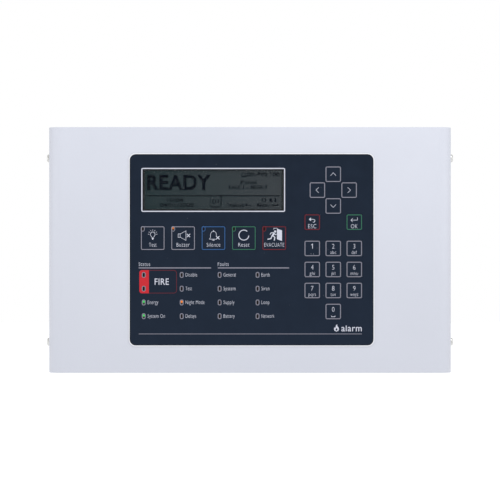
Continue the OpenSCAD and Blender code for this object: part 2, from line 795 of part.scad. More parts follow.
module lcd_bezel() color("dimgray") {
    inner = [bezel_w - 2*bezel_t, bezel_h - 2*bezel_t];
    on_face(bezel_front, lcd_depth) translate([window_x, window_z]) difference() {
        square([bezel_w, bezel_h], center = true);
        square(inner, center = true);
    }
    on_face(bezel_front, bezel_t) translate([window_x, window_z]) difference() {
        square([bezel_w, bezel_h], center = true);
        square([window_w + 2, window_h + 2], center = true);
    }
}

module lcd_panel() color("darkslategray") on_face(bezel_front + bezel_t, lcd_depth - bezel_t)
    translate([window_x, window_z])
        square([bezel_w - 2*bezel_t - 4*small, bezel_h - 2*bezel_t - 4*small], center = true);

module lcd_board() color("darkgreen") on_face(lcd_board_front, board_t) difference() {
    translate([window_x, window_z]) square([lcd_board_w, lcd_board_h], center = true);
    for (p = lcd_pillars_at) translate(p) circle(m3_hole_r);
}

module display_board() color("darkgreen") on_face(board_front, board_t) difference() {
    union() {
        translate([board_left, board_low]) square([board_right - board_left, notch_z - board_low]);
        translate([notch_x, board_low]) square([board_right - notch_x, board_high - board_low]);
    }
    for (p = board_pillars_at) translate(p) circle(m3_hole_r);
}

module key_switches() color("dimgray") for (k = keys)
    translate([overlay_x + k[1], 0, overlay_z + k[2]]) difference() {
        upright(board_front - switch_t, switch_t) square(switch_w, center = true);
        bar(switch_r, board_front - switch_t - past, switch_well + past);
    }

module indicator_lamps() color("honeydew") for (p = concat(lights, key_lights))
    translate([overlay_x + p[0], lamp_tip + lamp_h, overlay_z + p[1]]) rotate([90, 0, 0]) {
        cylinder(r = lamp_foot_r, h = lamp_foot_t);
        cylinder(r = lamp_r, h = lamp_h - lamp_r);
        translate([0, 0, lamp_h - lamp_r]) sphere(lamp_r);
    }

module lamp_spacers() color("black") on_face(lamp_tip + lamp_h, board_front - lamp_tip - lamp_h)
    for (p = concat(lights, key_lights)) translate(p) difference() {
        circle(lamp_foot_r + 0.2);
        circle(1);
    }

module cover_pillars() color("goldenrod") translate([overlay_x, 0, overlay_z]) {
    for (p = board_pillars_at) translate([p[0], 0, p[1]]) pillar(sheet_back, board_gap, 1);
    for (p = lcd_pillars_at) translate([p[0], 0, p[1]]) pillar(sheet_back, lcd_board_front - sheet_back, 1);
}

module cover_board_screws() color("silver") translate([overlay_x, 0, overlay_z]) {
    for (p = board_pillars_at) translate([p[0], board_back, p[1]]) rotate([-90, 0, 0])
        pan_screw(m3_head_r, m3_head_h, m3_r, m3_len);
    for (p = lcd_pillars_at) translate([p[0], lcd_board_back, p[1]]) rotate([-90, 0, 0])
        pan_screw(m3_head_r, m3_head_h, m3_r, m3_len);
}

module sounder() color("black") translate([overlay_x - 40, board_back, overlay_z - 50]) rotate([-90, 0, 0])
    difference() {
        cylinder(r = 7, h = 8);
        translate([0, 0, 7]) cylinder(r = 1.2, h = 2);
    }

// A flat bridge between the two boards, behind them
module lcd_link() color("lightgray") translate([overlay_x + link_x - link_w/2, 0, overlay_z])
    rotate([90, 0, 90]) linear_extrude(link_w) {
        top = lcd_board_back + link_rise;
        translate([lcd_board_back, notch_z + 1 + link_reach]) square([link_rise, link_t]);
        translate([top - link_t, notch_z - link_reach]) square([link_t, 2*link_reach + 1 + link_t]);
        translate([board_back, notch_z - link_reach]) square([top - board_back, link_t]);
    }

// ---- Keys ----

// One key: [name, x, z, side]; the function keys have a light slot
module key(k) color("midnightblue") translate([k[1] + overlay_x, 0, k[2] + overlay_z]) {
    flange = sheet_back + small;
    tip = board_front - switch_t + switch_well - key_travel - small;
    side = k[3];
    difference() {
        union() {
            upright(-case_d - overlay_t, overlay_t + sheet_t + small) rounded(side, side, cap_r);
            upright(flange, flange_t) rounded(side + 2*flange_rim, side + 2*flange_rim, cap_r + flange_rim);
        }
        if (side == wide_key) upright(-case_d - overlay_t - past, sheet_t + flange_t + 3*past)
            translate([key_light_x - side/2, side/2 - key_light_z]) slot(light_w, light_h);
    }
    bar(stem_r, flange + flange_t, tip - flange - flange_t);
}

back_box();
cover_screws();
clinch_nuts();
main_board();
board_pillars();
board_screws();
terminal_blocks();
terminal_screws();
relays();
capacitors();
board_chips();
loop_card();
ribbon_cable();
ribbon_plugs();
power_supply();
mains_terminal();
fuse();
battery_left();
battery_right();
battery_bracket();
battery_leads();
power_leads();
earth_stud();
front_cover();
front_overlay();
light_guides();
lcd_window();
lcd_bezel();
lcd_panel();
lcd_board();
display_board();
key_switches();
indicator_lamps();
lamp_spacers();
cover_pillars();
cover_board_screws();
sounder();
display_header();
lcd_link();
for (k = keys) key(k);
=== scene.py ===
"""Looks of a wall-mounted fire alarm control panel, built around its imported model.

Sizes held by the classes are in millimetres. The scene is in metres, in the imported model's own frame: X to the
right, Y from the front towards the wall, Z up.
"""

import json
import logging
import math
import random
from dataclasses import dataclass, field
from enum import Enum
from typing import Callable, Optional, Sequence

import bmesh
import bpy
from mathutils import Matrix, Vector
from mathutils.bvhtree import BVHTree

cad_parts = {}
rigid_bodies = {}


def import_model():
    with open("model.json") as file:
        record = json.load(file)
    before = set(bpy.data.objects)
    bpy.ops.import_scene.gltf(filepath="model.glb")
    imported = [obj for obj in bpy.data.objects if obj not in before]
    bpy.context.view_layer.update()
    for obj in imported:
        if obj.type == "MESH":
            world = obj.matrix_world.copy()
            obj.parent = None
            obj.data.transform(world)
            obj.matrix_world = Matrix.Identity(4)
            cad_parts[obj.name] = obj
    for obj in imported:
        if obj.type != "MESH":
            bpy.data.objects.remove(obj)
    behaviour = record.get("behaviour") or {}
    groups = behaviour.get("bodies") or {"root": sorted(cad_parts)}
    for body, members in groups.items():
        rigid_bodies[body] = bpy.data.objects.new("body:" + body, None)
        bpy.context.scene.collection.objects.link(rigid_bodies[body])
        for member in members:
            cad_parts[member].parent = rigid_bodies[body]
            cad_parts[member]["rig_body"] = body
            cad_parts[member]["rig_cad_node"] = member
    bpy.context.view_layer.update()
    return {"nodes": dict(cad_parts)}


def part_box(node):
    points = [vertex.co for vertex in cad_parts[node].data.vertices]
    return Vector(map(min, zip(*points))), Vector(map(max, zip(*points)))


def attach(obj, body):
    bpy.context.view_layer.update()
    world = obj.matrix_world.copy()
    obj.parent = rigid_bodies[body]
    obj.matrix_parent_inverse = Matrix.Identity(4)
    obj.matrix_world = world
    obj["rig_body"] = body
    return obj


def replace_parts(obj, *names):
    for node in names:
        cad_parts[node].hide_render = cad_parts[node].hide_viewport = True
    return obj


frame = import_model()

log = logging.getLogger("panel")

MM = 0.001
Colour = tuple[float, float, float]
Outline = list[tuple[float, float]]
Object = bpy.types.Object


# ---- Modelling moves ----


class Part(Enum):
    """What a selection test looks at."""

    FACE = "FACE"
    EDGE = "EDGE"


class Bench:
    """The modelling moves that the pieces share."""

    FINE_GAP = 0.0005

    @staticmethod
    def clear() -> None:
        """Goes back to object mode with nothing selected."""
        if bpy.context.object and bpy.context.object.mode != "OBJECT":
            bpy.ops.object.mode_set(mode="OBJECT")
        bpy.ops.object.select_all(action="DESELECT")

    @staticmethod
    def take(obj: Object) -> None:
        """Selects one object alone and makes it active.

        Args:
            obj: The object.
        """
        Bench.clear()
        obj.select_set(True)
        bpy.context.view_layer.objects.active = obj

    @staticmethod
    def edit(obj: Object, part: Part = Part.FACE) -> None:
        """Opens one object's mesh for editing.

        Args:
            obj: The object.
            part: What will be selected in it.
        """
        Bench.take(obj)
        bpy.ops.object.mode_set(mode="EDIT")
        bpy.ops.mesh.select_mode(type=part.value)

    @staticmethod
    def leave() -> None:
        """Closes the mesh that is open."""
        bpy.ops.object.mode_set(mode="OBJECT")

    @staticmethod
    def pick(obj: Object, part: Part, test: Callable[..., bool]) -> int:
        """Selects the faces or edges of the open mesh that pass a test.

        Args:
            obj: The object whose mesh is open.
            part: Faces or edges.
            test: Says whether one face or edge is wanted.

        Returns:
            How many were selected.
        """
        mesh = bmesh.from_edit_mesh(obj.data)
        for group in (mesh.verts, mesh.edges, mesh.faces):
            for item in group:
                item.select = False
        wanted = [item for item in (mesh.faces if part is Part.FACE else mesh.edges) if test(item)]
        for item in wanted:
            item.select_set(True)
        mesh.select_flush_mode()
        bmesh.update_edit_mesh(obj.data)
        return len(wanted)

    @staticmethod
    def settle(obj: Object) -> Object:
        """Moves an object's place, turn and size into its mesh.

        Args:
            obj: The object.

        Returns:
            The same object.
        """
        Bench.take(obj)
        bpy.ops.object.transform_apply(location=True, rotation=True, scale=True)
        return obj

    @staticmethod
    def weld(obj: Object, gap: float = 0.001) -> Object:
        """Merges a mesh's doubled points and turns its faces outwards.

        Args:
            obj: The piece.
            gap: How far apart points may be, in millimetres.

        Returns:
            The same piece.
        """
        Bench.edit(obj)
        bpy.ops.mesh.select_all(action="SELECT")
        bpy.ops.mesh.remove_doubles(threshold=gap * MM)
        bpy.ops.mesh.normals_make_consistent(inside=False)
        Bench.leave()
        return obj

    @staticmethod
    def join(pieces: Sequence[Object], name: str) -> Object:
        """Joins pieces into one object of the given name.

        Args:
            pieces: The pieces.
            name: The joined piece's name.

        Returns:
            The joined piece.
        """
        Bench.take(pieces[0])
        for piece in pieces:
            piece.select_set(True)
        if len(pieces) > 1:
            bpy.ops.object.join()
        pieces[0].name = pieces[0].data.name = name
        return pieces[0]

    @staticmethod
    def copy(obj: Object, name: str, shift: Vector) -> Object:
        """A copy with a mesh of its own, moved by shift in metres.

        Args:
            obj: The piece to copy.
            name: The copy's name.
            shift: How far it moves.

        Returns:
            The copy.
        """
        twin = obj.copy()
        twin.data = obj.data.copy()
        twin.name = twin.data.name = name
        twin.data.transform(Matrix.Translation(shift))
        bpy.context.collection.objects.link(twin)
        return twin

    @staticmethod
    def block(name: str, low: Vector, high: Vector, ease: float, segments: int = 2) -> Object:
        """A block between two corners, with every edge eased.

        Args:
            name: The piece's name.
            low: Its lowest corner, in metres.
            high: Its highest corner, in metres.
            ease: Radius of its edges, in millimetres.
            segments: Faces across an eased edge.

        Returns:
            The piece, with its place in its mesh.
        """
        Bench.clear()
        bpy.ops.mesh.primitive_cube_add(size=1, location=(low + high) / 2, scale=high - low)
        obj = Bench.settle(bpy.context.object)
        obj.name = obj.data.name = name
        Bench.edit(obj, Part.EDGE)
        bpy.ops.mesh.select_all(action="SELECT")
        bpy.ops.mesh.bevel(offset=ease * MM, segments=segments, affect="EDGES", clamp_overlap=True)
        Bench.leave()
        return obj

    @staticmethod
    def cad_copy(node: str, name: str) -> Object:
        """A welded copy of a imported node's mesh, to be shaped further.

        Args:
            node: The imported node.
            name: The copy's name.

        Returns:
            The copy.
        """
        twin = frame["nodes"][node].copy()
        twin.data = twin.data.copy()
        twin.name = twin.data.name = name
        twin.parent = None
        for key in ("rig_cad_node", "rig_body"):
            del twin[key]
        bpy.context.collection.objects.link(twin)
        twin.data.materials.clear()
        return Bench.weld(twin, Bench.FINE_GAP)

    @staticmethod
    def modify(obj: Object, kind: str, **settings: object) -> Object:
        """Adds a modifier with the given settings and applies it.

        Args:
            obj: The piece.
            kind: The modifier's type.
            settings: Its settings.

        Returns:
            The same piece.
        """
        Bench.take(obj)
        bpy.ops.object.modifier_add(type=kind)
        modifier = obj.modifiers[-1]
        for key, value in settings.items():
            setattr(modifier, key, value)
        bpy.ops.object.modifier_apply(modifier=modifier.name)
        return obj

    @staticmethod
    def smooth(obj: Object, angle: float = 35) -> Object:
        """Shades a piece smooth except at edges sharper than angle, in degrees.

        Args:
            obj: The piece.
            angle: The angle.

        Returns:
            The same piece.
        """
        Bench.take(obj)
        bpy.ops.object.shade_smooth_by_angle(angle=math.radians(angle))
        return obj


# ---- Finishes ----


class Wiring:
    """The node tree of one material while it is wired."""

    def __init__(self, name: str) -> None:
        """Starts a material with a principled surface and object coordinates.

        Args:
            name: The material's name.
        """
        self.material = bpy.data.materials.new(name)
        self.material.use_nodes = True
        self.tree = self.material.node_tree
        self.surface = self.tree.nodes["Principled BSDF"]
        self.place = self.add("ShaderNodeTexCoord").outputs["Object"]

    def add(self, kind: str, inputs: Optional[dict] = None, **settings: object) -> bpy.types.Node:
        """Adds a node.

        Args:
            kind: The node's type.
            inputs: Socket values or outputs to link, by socket name or number.
            settings: The node's own settings.

        Returns:
            The node.
        """
        node = self.tree.nodes.new(kind)
        for key, value in settings.items():
            setattr(node, key, value)
        for key, value in (inputs or {}).items():
            self.set(node.inputs[key], value)
        return node

    def set(self, socket: bpy.types.NodeSocket, value: object) -> None:
        """Sets a socket to a value, or links an output to it.

        Args:
            socket: The input.
            value: Value, colour or output.
        """
        if isinstance(value, bpy.types.NodeSocket):
            self.tree.links.new(value, socket)
        elif isinstance(value, tuple) and len(value) == 3 and socket.type == "RGBA":
            socket.default_value = (*value, 1)
        else:
            socket.default_value = value

    def noise(self, scale: float, detail: float = 3, stretch: Colour = (1, 1, 1)) -> bpy.types.NodeSocket:
        """Noise from 0 to 1, scale features to the metre, finer along an axis where stretch is larger.

        Args:
            scale: Features to the metre.
            detail: Layers of finer noise.
            stretch: How much finer it is along each axis.

        Returns:
            The noise.
        """
        mapped = self.add("ShaderNodeMapping", {"Vector": self.place, "Scale": stretch})
        return self.add("ShaderNodeTexNoise", {"Vector": mapped.outputs[0], "Scale": scale,
                                               "Detail": detail}).outputs[0]

    def ramp(self, value: bpy.types.NodeSocket, low: float, high: float, start: float, end: float
             ) -> bpy.types.NodeSocket:
        """Maps value from low..high to start..end, held at both ends."""
        return self.add("ShaderNodeMapRange", {"Value": value, "From Min": low, "From Max": high,
                                               "To Min": start, "To Max": end}).outputs[0]

    def blend(self, factor: bpy.types.NodeSocket, first: object, second: object) -> bpy.types.NodeSocket:
        """A colour from first to second as factor goes from 0 to 1."""
        return self.add("ShaderNodeMix", {0: factor, 6: first, 7: second}, data_type="RGBA").outputs[2]

    def sum(self, operation: str, first: object, second: object = 0.0) -> bpy.types.NodeSocket:
        """A number made of one or two others."""
        return self.add("ShaderNodeMath", {0: first, 1: second}, operation=operation).outputs[0]

    def axis(self, name: str) -> bpy.types.NodeSocket:
        """One coordinate of the surface point, in metres."""
        return self.add("ShaderNodeSeparateXYZ", {0: self.place}).outputs[name]

    def bump(self, height: bpy.types.NodeSocket, depth: float) -> None:
        """Gives the surface a relief, depth in millimetres.

        Args:
            height: The relief, from 0 to 1.
            depth: Its depth.
        """
        node = self.add("ShaderNodeBump", {"Height": height, "Distance": depth * MM})
        earlier = self.surface.inputs["Normal"].links
        if earlier:
            self.set(node.inputs["Normal"], earlier[0].from_socket)
        self.set(self.surface.inputs["Normal"], node.outputs[0])


def shade(colour: Colour, amount: float) -> Colour:
    """A colour made lighter or darker by a share."""
    return tuple(min(1.0, c * (1 + amount)) for c in colour)


@dataclass(frozen=True)
class Finish:
    """A surface with patchy colour, uneven gloss and a fine grain.

    Attributes:
        slot: The record's slot; not used.
        colour: Linear colour.
        rough: Roughness, with spread either side.
        metal: 1 for bare metal.
        patchy: Share by which the colour varies.
        patch: Patches to the metre.
        grain: Grains to the metre.
        depth: Height of the grain in millimetres.
        stretch: How much finer the grain is along each axis.
        gloss: Specular level.
    """

    name: str
    slot: str
    colour: Colour
    rough: float = 0.5
    spread: float = 0.08
    metal: float = 0.0
    patchy: float = 0.06
    patch: float = 45
    grain: float = 1400
    depth: float = 0.01
    stretch: Colour = (1, 1, 1)
    gloss: float = 0.5

    def paint(self, wiring: Wiring) -> bpy.types.NodeSocket:
        """The colour over the surface.

        Args:
            wiring: The material's nodes.

        Returns:
            The colour.
        """
        patches = wiring.noise(self.patch, 4)
        return wiring.blend(wiring.ramp(patches, 0.3, 0.7, 0, 1), shade(self.colour, -self.patchy),
                            shade(self.colour, self.patchy))

    def relief(self, wiring: Wiring) -> None:
        """The relief of the surface."""
        wiring.bump(wiring.noise(self.grain, 2, self.stretch), self.depth)

    def material(self) -> bpy.types.Material:
        """The finish's material, made once.

        Returns:
            The material.
        """
        made = bpy.data.materials.get(self.name)
        if made:
            return made
        wiring = Wiring(self.name)
        surface = wiring.surface.inputs
        wiring.set(surface["Base Color"], self.paint(wiring))
        rough = wiring.ramp(wiring.noise(self.patch * 5, 3, self.stretch), 0.3, 0.7,
                            self.rough - self.spread, self.rough + self.spread)
        wiring.set(surface["Roughness"], rough)
        surface["Metallic"].default_value = self.metal
        surface["Specular IOR Level"].default_value = self.gloss
        self.relief(wiring)
        return wiring.material

    def dress(self, piece: Object) -> Object:
        """Puts the finish on a piece.

        Args:
            piece: The piece.

        Returns:
            The same piece.
        """
        piece.data.materials.clear()
        piece.data.materials.append(self.material())
        return piece


@dataclass(frozen=True)
class PowderCoat(Finish):
    """Baked powder paint: a soft orange peel and a fine speckle.

    Attributes:
        peel: Waves of orange peel to the metre.
        peel_depth: Their height in millimetres.
        specks: Specks to the metre.
        speck_share: How strongly a speck shows.
    """

    peel: float = 520
    peel_depth: float = 0.035
    specks: float = 2600
    speck_share: float = 0.35

    def paint(self, wiring: Wiring) -> bpy.types.NodeSocket:
        """Patchy paint with a fine speckle.

        Args:
            wiring: The material's nodes.

        Returns:
            The colour.
        """
        ground = super().paint(wiring)
        specks = wiring.ramp(wiring.noise(self.specks, 2), 0.66, 0.74, 0, self.speck_share)
        return wiring.blend(specks, ground, shade(self.colour, -0.10))

    def relief(self, wiring: Wiring) -> None:
        """Orange peel under a fine grain."""
        wiring.bump(wiring.noise(self.peel, 1), self.peel_depth)
        super().relief(wiring)


@dataclass(frozen=True)
class PrintedFilm(Finish):
    """Printed polyester film: dark ground, fine velvet texture, a few pale dust specks, and painted light that
    makes it lighter towards the bottom.

    Attributes:
        reach: How far above and below zero the painted light on the ground fades, in metres.
        fade: How strongly the ground is painted lighter at the bottom, as painted light.
        cells: Places for dust to the metre.
        dust: Colour of the dust.
    """

    reach: float = 0.09
    fade: float = 0.5
    cells: float = 95.0
    dust: Colour = (0.30, 0.31, 0.34)

    def paint(self, wiring: Wiring) -> bpy.types.NodeSocket:
        """Dark ground with painted light that makes it a little lighter towards the bottom, and dust.

        Args:
            wiring: The material's nodes.

        Returns:
            The colour.
        """
        ground = super().paint(wiring)
        # Painted light: the ground is made lighter towards the bottom.
        low = wiring.ramp(wiring.axis("Z"), -self.reach, self.reach, 1, 0)
        ground = wiring.blend(wiring.sum("MULTIPLY", low, self.fade), ground, shade(self.colour, 0.35))
        cells = wiring.add("ShaderNodeTexVoronoi", {"Vector": wiring.place, "Scale": self.cells,
                                                    "Randomness": 1.0})
        dust = wiring.ramp(cells.outputs["Distance"], 0.012, 0.03, 0.35, 0)
        return wiring.blend(dust, ground, self.dust)


@dataclass(frozen=True)
class SolderMask(Finish):
    """A circuit board: mask over bundles of copper tracks, with pads and vias.

    Attributes:
        copper: Colour of bare metal.
        zone: Zones of wiring to the metre.
        track: Distance between tracks.
        pad: Pads to the metre, and the share of its place that one fills.
        via: The same for vias.
    """

    copper: Colour = (0.55, 0.50, 0.30)
    zone: float = 60
    track: float = 1.1
    pad: tuple[float, float] = (300.0, 0.16)
    via: tuple[float, float] = (150.0, 0.05)

    def paint(self, wiring: Wiring) -> bpy.types.NodeSocket:
        """Mask with bundles of tracks that run one way or the other, and pads.

        Args:
            wiring: The material's nodes.

        Returns:
            The colour.
        """
        across, up = wiring.axis("X"), wiring.axis("Z")
        spot = wiring.add("ShaderNodeCombineXYZ", {0: across, 1: up}).outputs[0]
        zones = wiring.add("ShaderNodeTexVoronoi", {"Vector": spot, "Scale": self.zone, "Randomness": 0.9},
                           voronoi_dimensions="2D", distance="CHEBYCHEV")
        tone, turn, dense = wiring.add("ShaderNodeSeparateColor", {0: zones.outputs["Color"]}).outputs
        ground = wiring.blend(wiring.ramp(tone, 0, 1, 0, 1), super().paint(wiring),
                              shade(self.colour, 0.35))
        turns = 2 * math.pi / (self.track * MM)
        waves = [wiring.sum("SINE", wiring.sum("MULTIPLY", axis, turns)) for axis in (across, up)]
        lines = [wiring.ramp(wave, 0.1, 0.4, 0, 0.8) for wave in waves]
        tracks = wiring.blend(wiring.sum("GREATER_THAN", turn, 0.5), *lines)
        tracks = wiring.sum("MULTIPLY", tracks, wiring.sum("GREATER_THAN", dense, 0.4))
        ground = wiring.blend(tracks, ground, shade(self.colour, 0.9))
        pads = wiring.sum("MULTIPLY", self._dots(wiring, spot, *self.pad),
                          wiring.sum("GREATER_THAN", dense, 0.75))
        vias = self._dots(wiring, spot, *self.via)
        return wiring.blend(wiring.sum("MAXIMUM", pads, vias), ground, self.copper)

    @staticmethod
    def _dots(wiring: Wiring, spot: bpy.types.NodeSocket, scale: float,
              size: float) -> bpy.types.NodeSocket:
        """Scattered round dots, scale to the metre.

        Args:
            wiring: The material's nodes.
            spot: The point on the board.
            scale: Dots to the metre.
            size: Share of its place that a dot fills.

        Returns:
            1 on a dot and 0 elsewhere.
        """
        cells = wiring.add("ShaderNodeTexVoronoi", {"Vector": spot, "Scale": scale, "Randomness": 0.6},
                           voronoi_dimensions="2D")
        return wiring.ramp(cells.outputs["Distance"], size, size * 1.25, 1, 0)


@dataclass(frozen=True)
class Ribbed(Finish):
    """Flat cable: a rib for each of its cores.

    Attributes:
        rib: Distance between cores.
    """

    rib: float = 1.27

    def paint(self, wiring: Wiring) -> bpy.types.NodeSocket:
        """Grey sheath with painted shade in the grooves between the cores.

        Args:
            wiring: The material's nodes.

        Returns:
            The colour.
        """
        ground = super().paint(wiring)
        waves = wiring.sum("SINE", wiring.sum("MULTIPLY", wiring.axis("X"), 2 * math.pi / (self.rib * MM)))
        # Painted shade: darker grooves between the cores.
        return wiring.blend(wiring.ramp(waves, -1, -0.6, 0.5, 0), ground, shade(self.colour, -0.6))


@dataclass(frozen=True)
class Striped(Finish):
    """A sheath in two colours, lengthwise.

    Attributes:
        other: The second colour.
        turns: How fast the colours change places, in radians to the metre.
    """

    other: Colour = (0.55, 0.42, 0.02)
    turns: float = 2400.0

    def paint(self, wiring: Wiring) -> bpy.types.NodeSocket:
        """Bands of the second colour.

        Args:
            wiring: The material's nodes.

        Returns:
            The colour.
        """
        ground = super().paint(wiring)
        turn = wiring.sum("SINE", wiring.sum("MULTIPLY", wiring.axis("X"), self.turns))
        return wiring.blend(wiring.ramp(turn, -0.1, 0.1, 0, 1), ground, self.other)


@dataclass(frozen=True)
class Glass(Finish):
    """A clear pane, thin enough to let light straight through.

    Attributes:
        cover: Share of what lies behind that the pane hides.
    """

    cover: float = 0.16

    def material(self) -> bpy.types.Material:
        """The pane's material: faint smears over a glossy surface.

        Returns:
            The material.
        """
        made = bpy.data.materials.get(self.name)
        if not made:
            made = super().material()
            made.node_tree.nodes["Principled BSDF"].inputs["Alpha"].default_value = self.cover
            made.surface_render_method = "BLENDED"
        return made


@dataclass(frozen=True)
class DisplayGround(Finish):
    """The display's ground: a grid of unlit dots over a reflector, darker towards its rim.

    Attributes:
        pitch: Distance between dots.
        middle: Middle of the ground, in metres.
        half: Half its width, depth and height.
        right: Colour at the right end.
        rim: Colour in the shadow of the bezel.
        face: Colour by which it answers to light from the front.
        behind: Strength of the light from behind.
    """

    pitch: float = 0.53
    middle: Colour = (0.0, 0.0, 0.0)
    half: Colour = (65.2, 0, 18.4)
    right: Colour = (0.059, 0.070, 0.081)
    rim: Colour = (0.008, 0.010, 0.011)
    face: Colour = (0.007, 0.009, 0.010)
    behind: float = 0.49

    def paint(self, wiring: Wiring) -> bpy.types.NodeSocket:
        """Grid of dots, with shade at the rim and a lighter right side.

        Args:
            wiring: The material's nodes.

        Returns:
            The colour.
        """
        ground = super().paint(wiring)
        across = wiring.sum("DIVIDE", wiring.sum("SUBTRACT", wiring.axis("X"), self.middle[0]),
                            self.half[0] * MM)
        up = wiring.sum("DIVIDE", wiring.sum("SUBTRACT", wiring.axis("Z"), self.middle[2]),
                        self.half[2] * MM)
        ground = wiring.blend(wiring.ramp(across, -1, 1, 0, 1), ground, self.right)
        turns = math.pi / (self.pitch * MM)
        rows = [wiring.sum("ABSOLUTE", wiring.sum("SINE", wiring.sum("MULTIPLY", wiring.axis(axis), turns)))
                for axis in "XZ"]
        lines = wiring.ramp(wiring.sum("MINIMUM", rows[0], rows[1]), 0.0, 0.22, 0.22, 0)
        ground = wiring.blend(lines, ground, shade(self.colour, 0.5))
        edge = wiring.ramp(wiring.sum("ABSOLUTE", across), 0.985, 1.0, 0, 0.8)
        top = wiring.ramp(up, 0.93, 1.0, 0, 0.6)
        return wiring.blend(wiring.sum("MAXIMUM", edge, top), ground, self.rim)

    def material(self) -> bpy.types.Material:
        """The ground's material: its light comes mostly from behind.

        Returns:
            The material.
        """
        made = super().material()
        surface = made.node_tree.nodes["Principled BSDF"]
        ground = surface.inputs["Base Color"].links[0].from_socket
        made.node_tree.links.new(ground, surface.inputs["Emission Color"])
        made.node_tree.links.remove(surface.inputs["Base Color"].links[0])
        surface.inputs["Base Color"].default_value = (*self.face, 1)
        surface.inputs["Emission Strength"].default_value = self.behind
        return made


@dataclass(frozen=True)
class Glow(Finish):
    """A lamp's window lit from behind, brightest around one point.

    Attributes:
        centre: The brightest point, in metres.
        reach: How far from it the light fades out.
        core: Share of the reach that is fully lit.
        strength: Strength of the light.
        pane: The unlit pane's two colours.
    """

    centre: Colour = (0.0, 0.0, 0.0)
    reach: float = 1.75
    core: float = 0.35
    strength: float = 1.0
    pane: tuple[Colour, Colour] = ((0.010, 0.008, 0.007), (0.018, 0.014, 0.013))

    def material(self) -> bpy.types.Material:
        """The window's material, one for each lamp.

        Returns:
            The material.
        """
        wiring = Wiring(self.name)
        surface = wiring.surface.inputs
        offset = wiring.add("ShaderNodeVectorMath", {0: wiring.place, 1: self.centre}, operation="DISTANCE")
        reach = self.reach * MM
        light = wiring.ramp(offset.outputs["Value"], self.core * reach, reach, self.strength, 0.0)
        surface["Emission Color"].default_value = (*self.colour, 1)
        wiring.set(surface["Emission Strength"], light)
        speck = wiring.ramp(wiring.noise(900, 2), 0.3, 0.7, 0, 1)
        wiring.set(surface["Base Color"], wiring.blend(speck, *self.pane))
        wiring.set(surface["Roughness"], wiring.ramp(wiring.noise(1200, 2), 0.3, 0.7, 0.3, 0.45))
        surface["Specular IOR Level"].default_value = self.gloss
        self.relief(wiring)
        return wiring.material


COAT = PowderCoat("powder_coat", "white_powder_coat", (0.470, 0.487, 0.547), rough=0.46, patchy=0.012,
                  patch=9, grain=2400, depth=0.006)
FILM = PrintedFilm("printed_film", "overlay_print", (0.0092, 0.0144, 0.0252), rough=0.5, spread=0.05,
                   patchy=0.10, patch=60, grain=3200, depth=0.006, gloss=0.03)
FILM_EDGE = Finish("film_edge", "print_white", (0.62, 0.63, 0.67), rough=0.3, patchy=0.02, depth=0.002)
ZINC = Finish("zinc_plate", "zinc_steel", (0.55, 0.55, 0.54), rough=0.34, metal=1.0, patchy=0.12, patch=300,
              depth=0.006, stretch=(1, 1, 6))
GALVANISED = Finish("galvanised", "zinc_steel", (0.56, 0.57, 0.58), rough=0.42, metal=1.0, patchy=0.14,
                    patch=160, depth=0.01)
BRASS = Finish("brass", "brass_zinc", (0.62, 0.48, 0.22), rough=0.32, metal=1.0, patchy=0.10, patch=400,
               depth=0.006)
BOARD = SolderMask("solder_mask", "green_board", (0.010, 0.095, 0.040), rough=0.34, patchy=0.10, grain=900,
                   depth=0.01)
TERMINAL = Finish("terminal_green", "terminal_green", (0.03, 0.27, 0.11), rough=0.42, grain=1800,
                  depth=0.008)
BLACK = Finish("black_plastic", "black_plastic", (0.020, 0.020, 0.022), rough=0.45, patchy=0.15, grain=1600,
               depth=0.01)
RELAY = Finish("relay_case", "black_plastic", (0.018, 0.060, 0.16), rough=0.4, patchy=0.08, grain=1500,
               depth=0.008)
SLEEVE = Finish("capacitor_sleeve", "capacitor_sleeve", (0.015, 0.025, 0.085), rough=0.25, patchy=0.08,
                depth=0.004)
RIBBON = Ribbed("ribbon_sheath", "ribbon_grey", (0.42, 0.43, 0.44), rough=0.5, depth=0.01)
SUPPLY = Finish("supply_case", "supply_case", (0.60, 0.62, 0.64), rough=0.38, metal=1.0, patchy=0.08,
                patch=70, grain=500, depth=0.012, stretch=(0.15, 1, 8))
IVORY = Finish("terminal_ivory", "terminal_white", (0.72, 0.69, 0.58), rough=0.45, patchy=0.05, depth=0.01)
PANE = Glass("clear_pane", "clear_glass", (0.02, 0.026, 0.028), rough=0.12, spread=0.03, depth=0.001,
             cover=0.03)
FUSE = Glass("fuse_glass", "clear_glass", (0.35, 0.38, 0.36), rough=0.08, spread=0.02, depth=0.001,
             cover=0.55)
BATTERY = Finish("battery_case", "battery_case", (0.030, 0.031, 0.034), rough=0.5, patchy=0.18, patch=70,
                 grain=1300, depth=0.02)
RESIN = Finish("lamp_resin", "lamp_resin", (0.62, 0.66, 0.60), rough=0.2, depth=0.003)
DARK_SLOT = Finish("light_slot", "light_guide", (0.009, 0.006, 0.006), rough=0.4, patchy=0.2, patch=700,
                   depth=0.004, gloss=0.06)
BEZEL = Finish("bezel_black", "zinc_steel", (0.03, 0.03, 0.032), rough=0.4, metal=0.6, patchy=0.1,
               depth=0.006)
DISPLAY_RIM = Finish("display_rim", "display_dark", (0.010, 0.012, 0.013), rough=0.35, patchy=0.1,
                     depth=0.003, gloss=0.2)
DOT = Finish("display_dots", "display_dark", (0.0015, 0.0025, 0.006), rough=0.4, patchy=0.15, patch=500,
             depth=0.002, gloss=0.03)
LABEL = Finish("label_paper", "print_white", (0.70, 0.70, 0.68), rough=0.55, patchy=0.03, depth=0.006)


def ink(name: str, colour: Colour) -> Finish:
    """A printed ink of the given linear colour.

    Args:
        name: Its name.
        colour: Its colour.

    Returns:
        The finish.
    """
    return Finish("ink_" + name, "print_white", colour, rough=0.5, spread=0.05, patchy=0.05, patch=500,
                  grain=3000, depth=0.003, gloss=0.2)


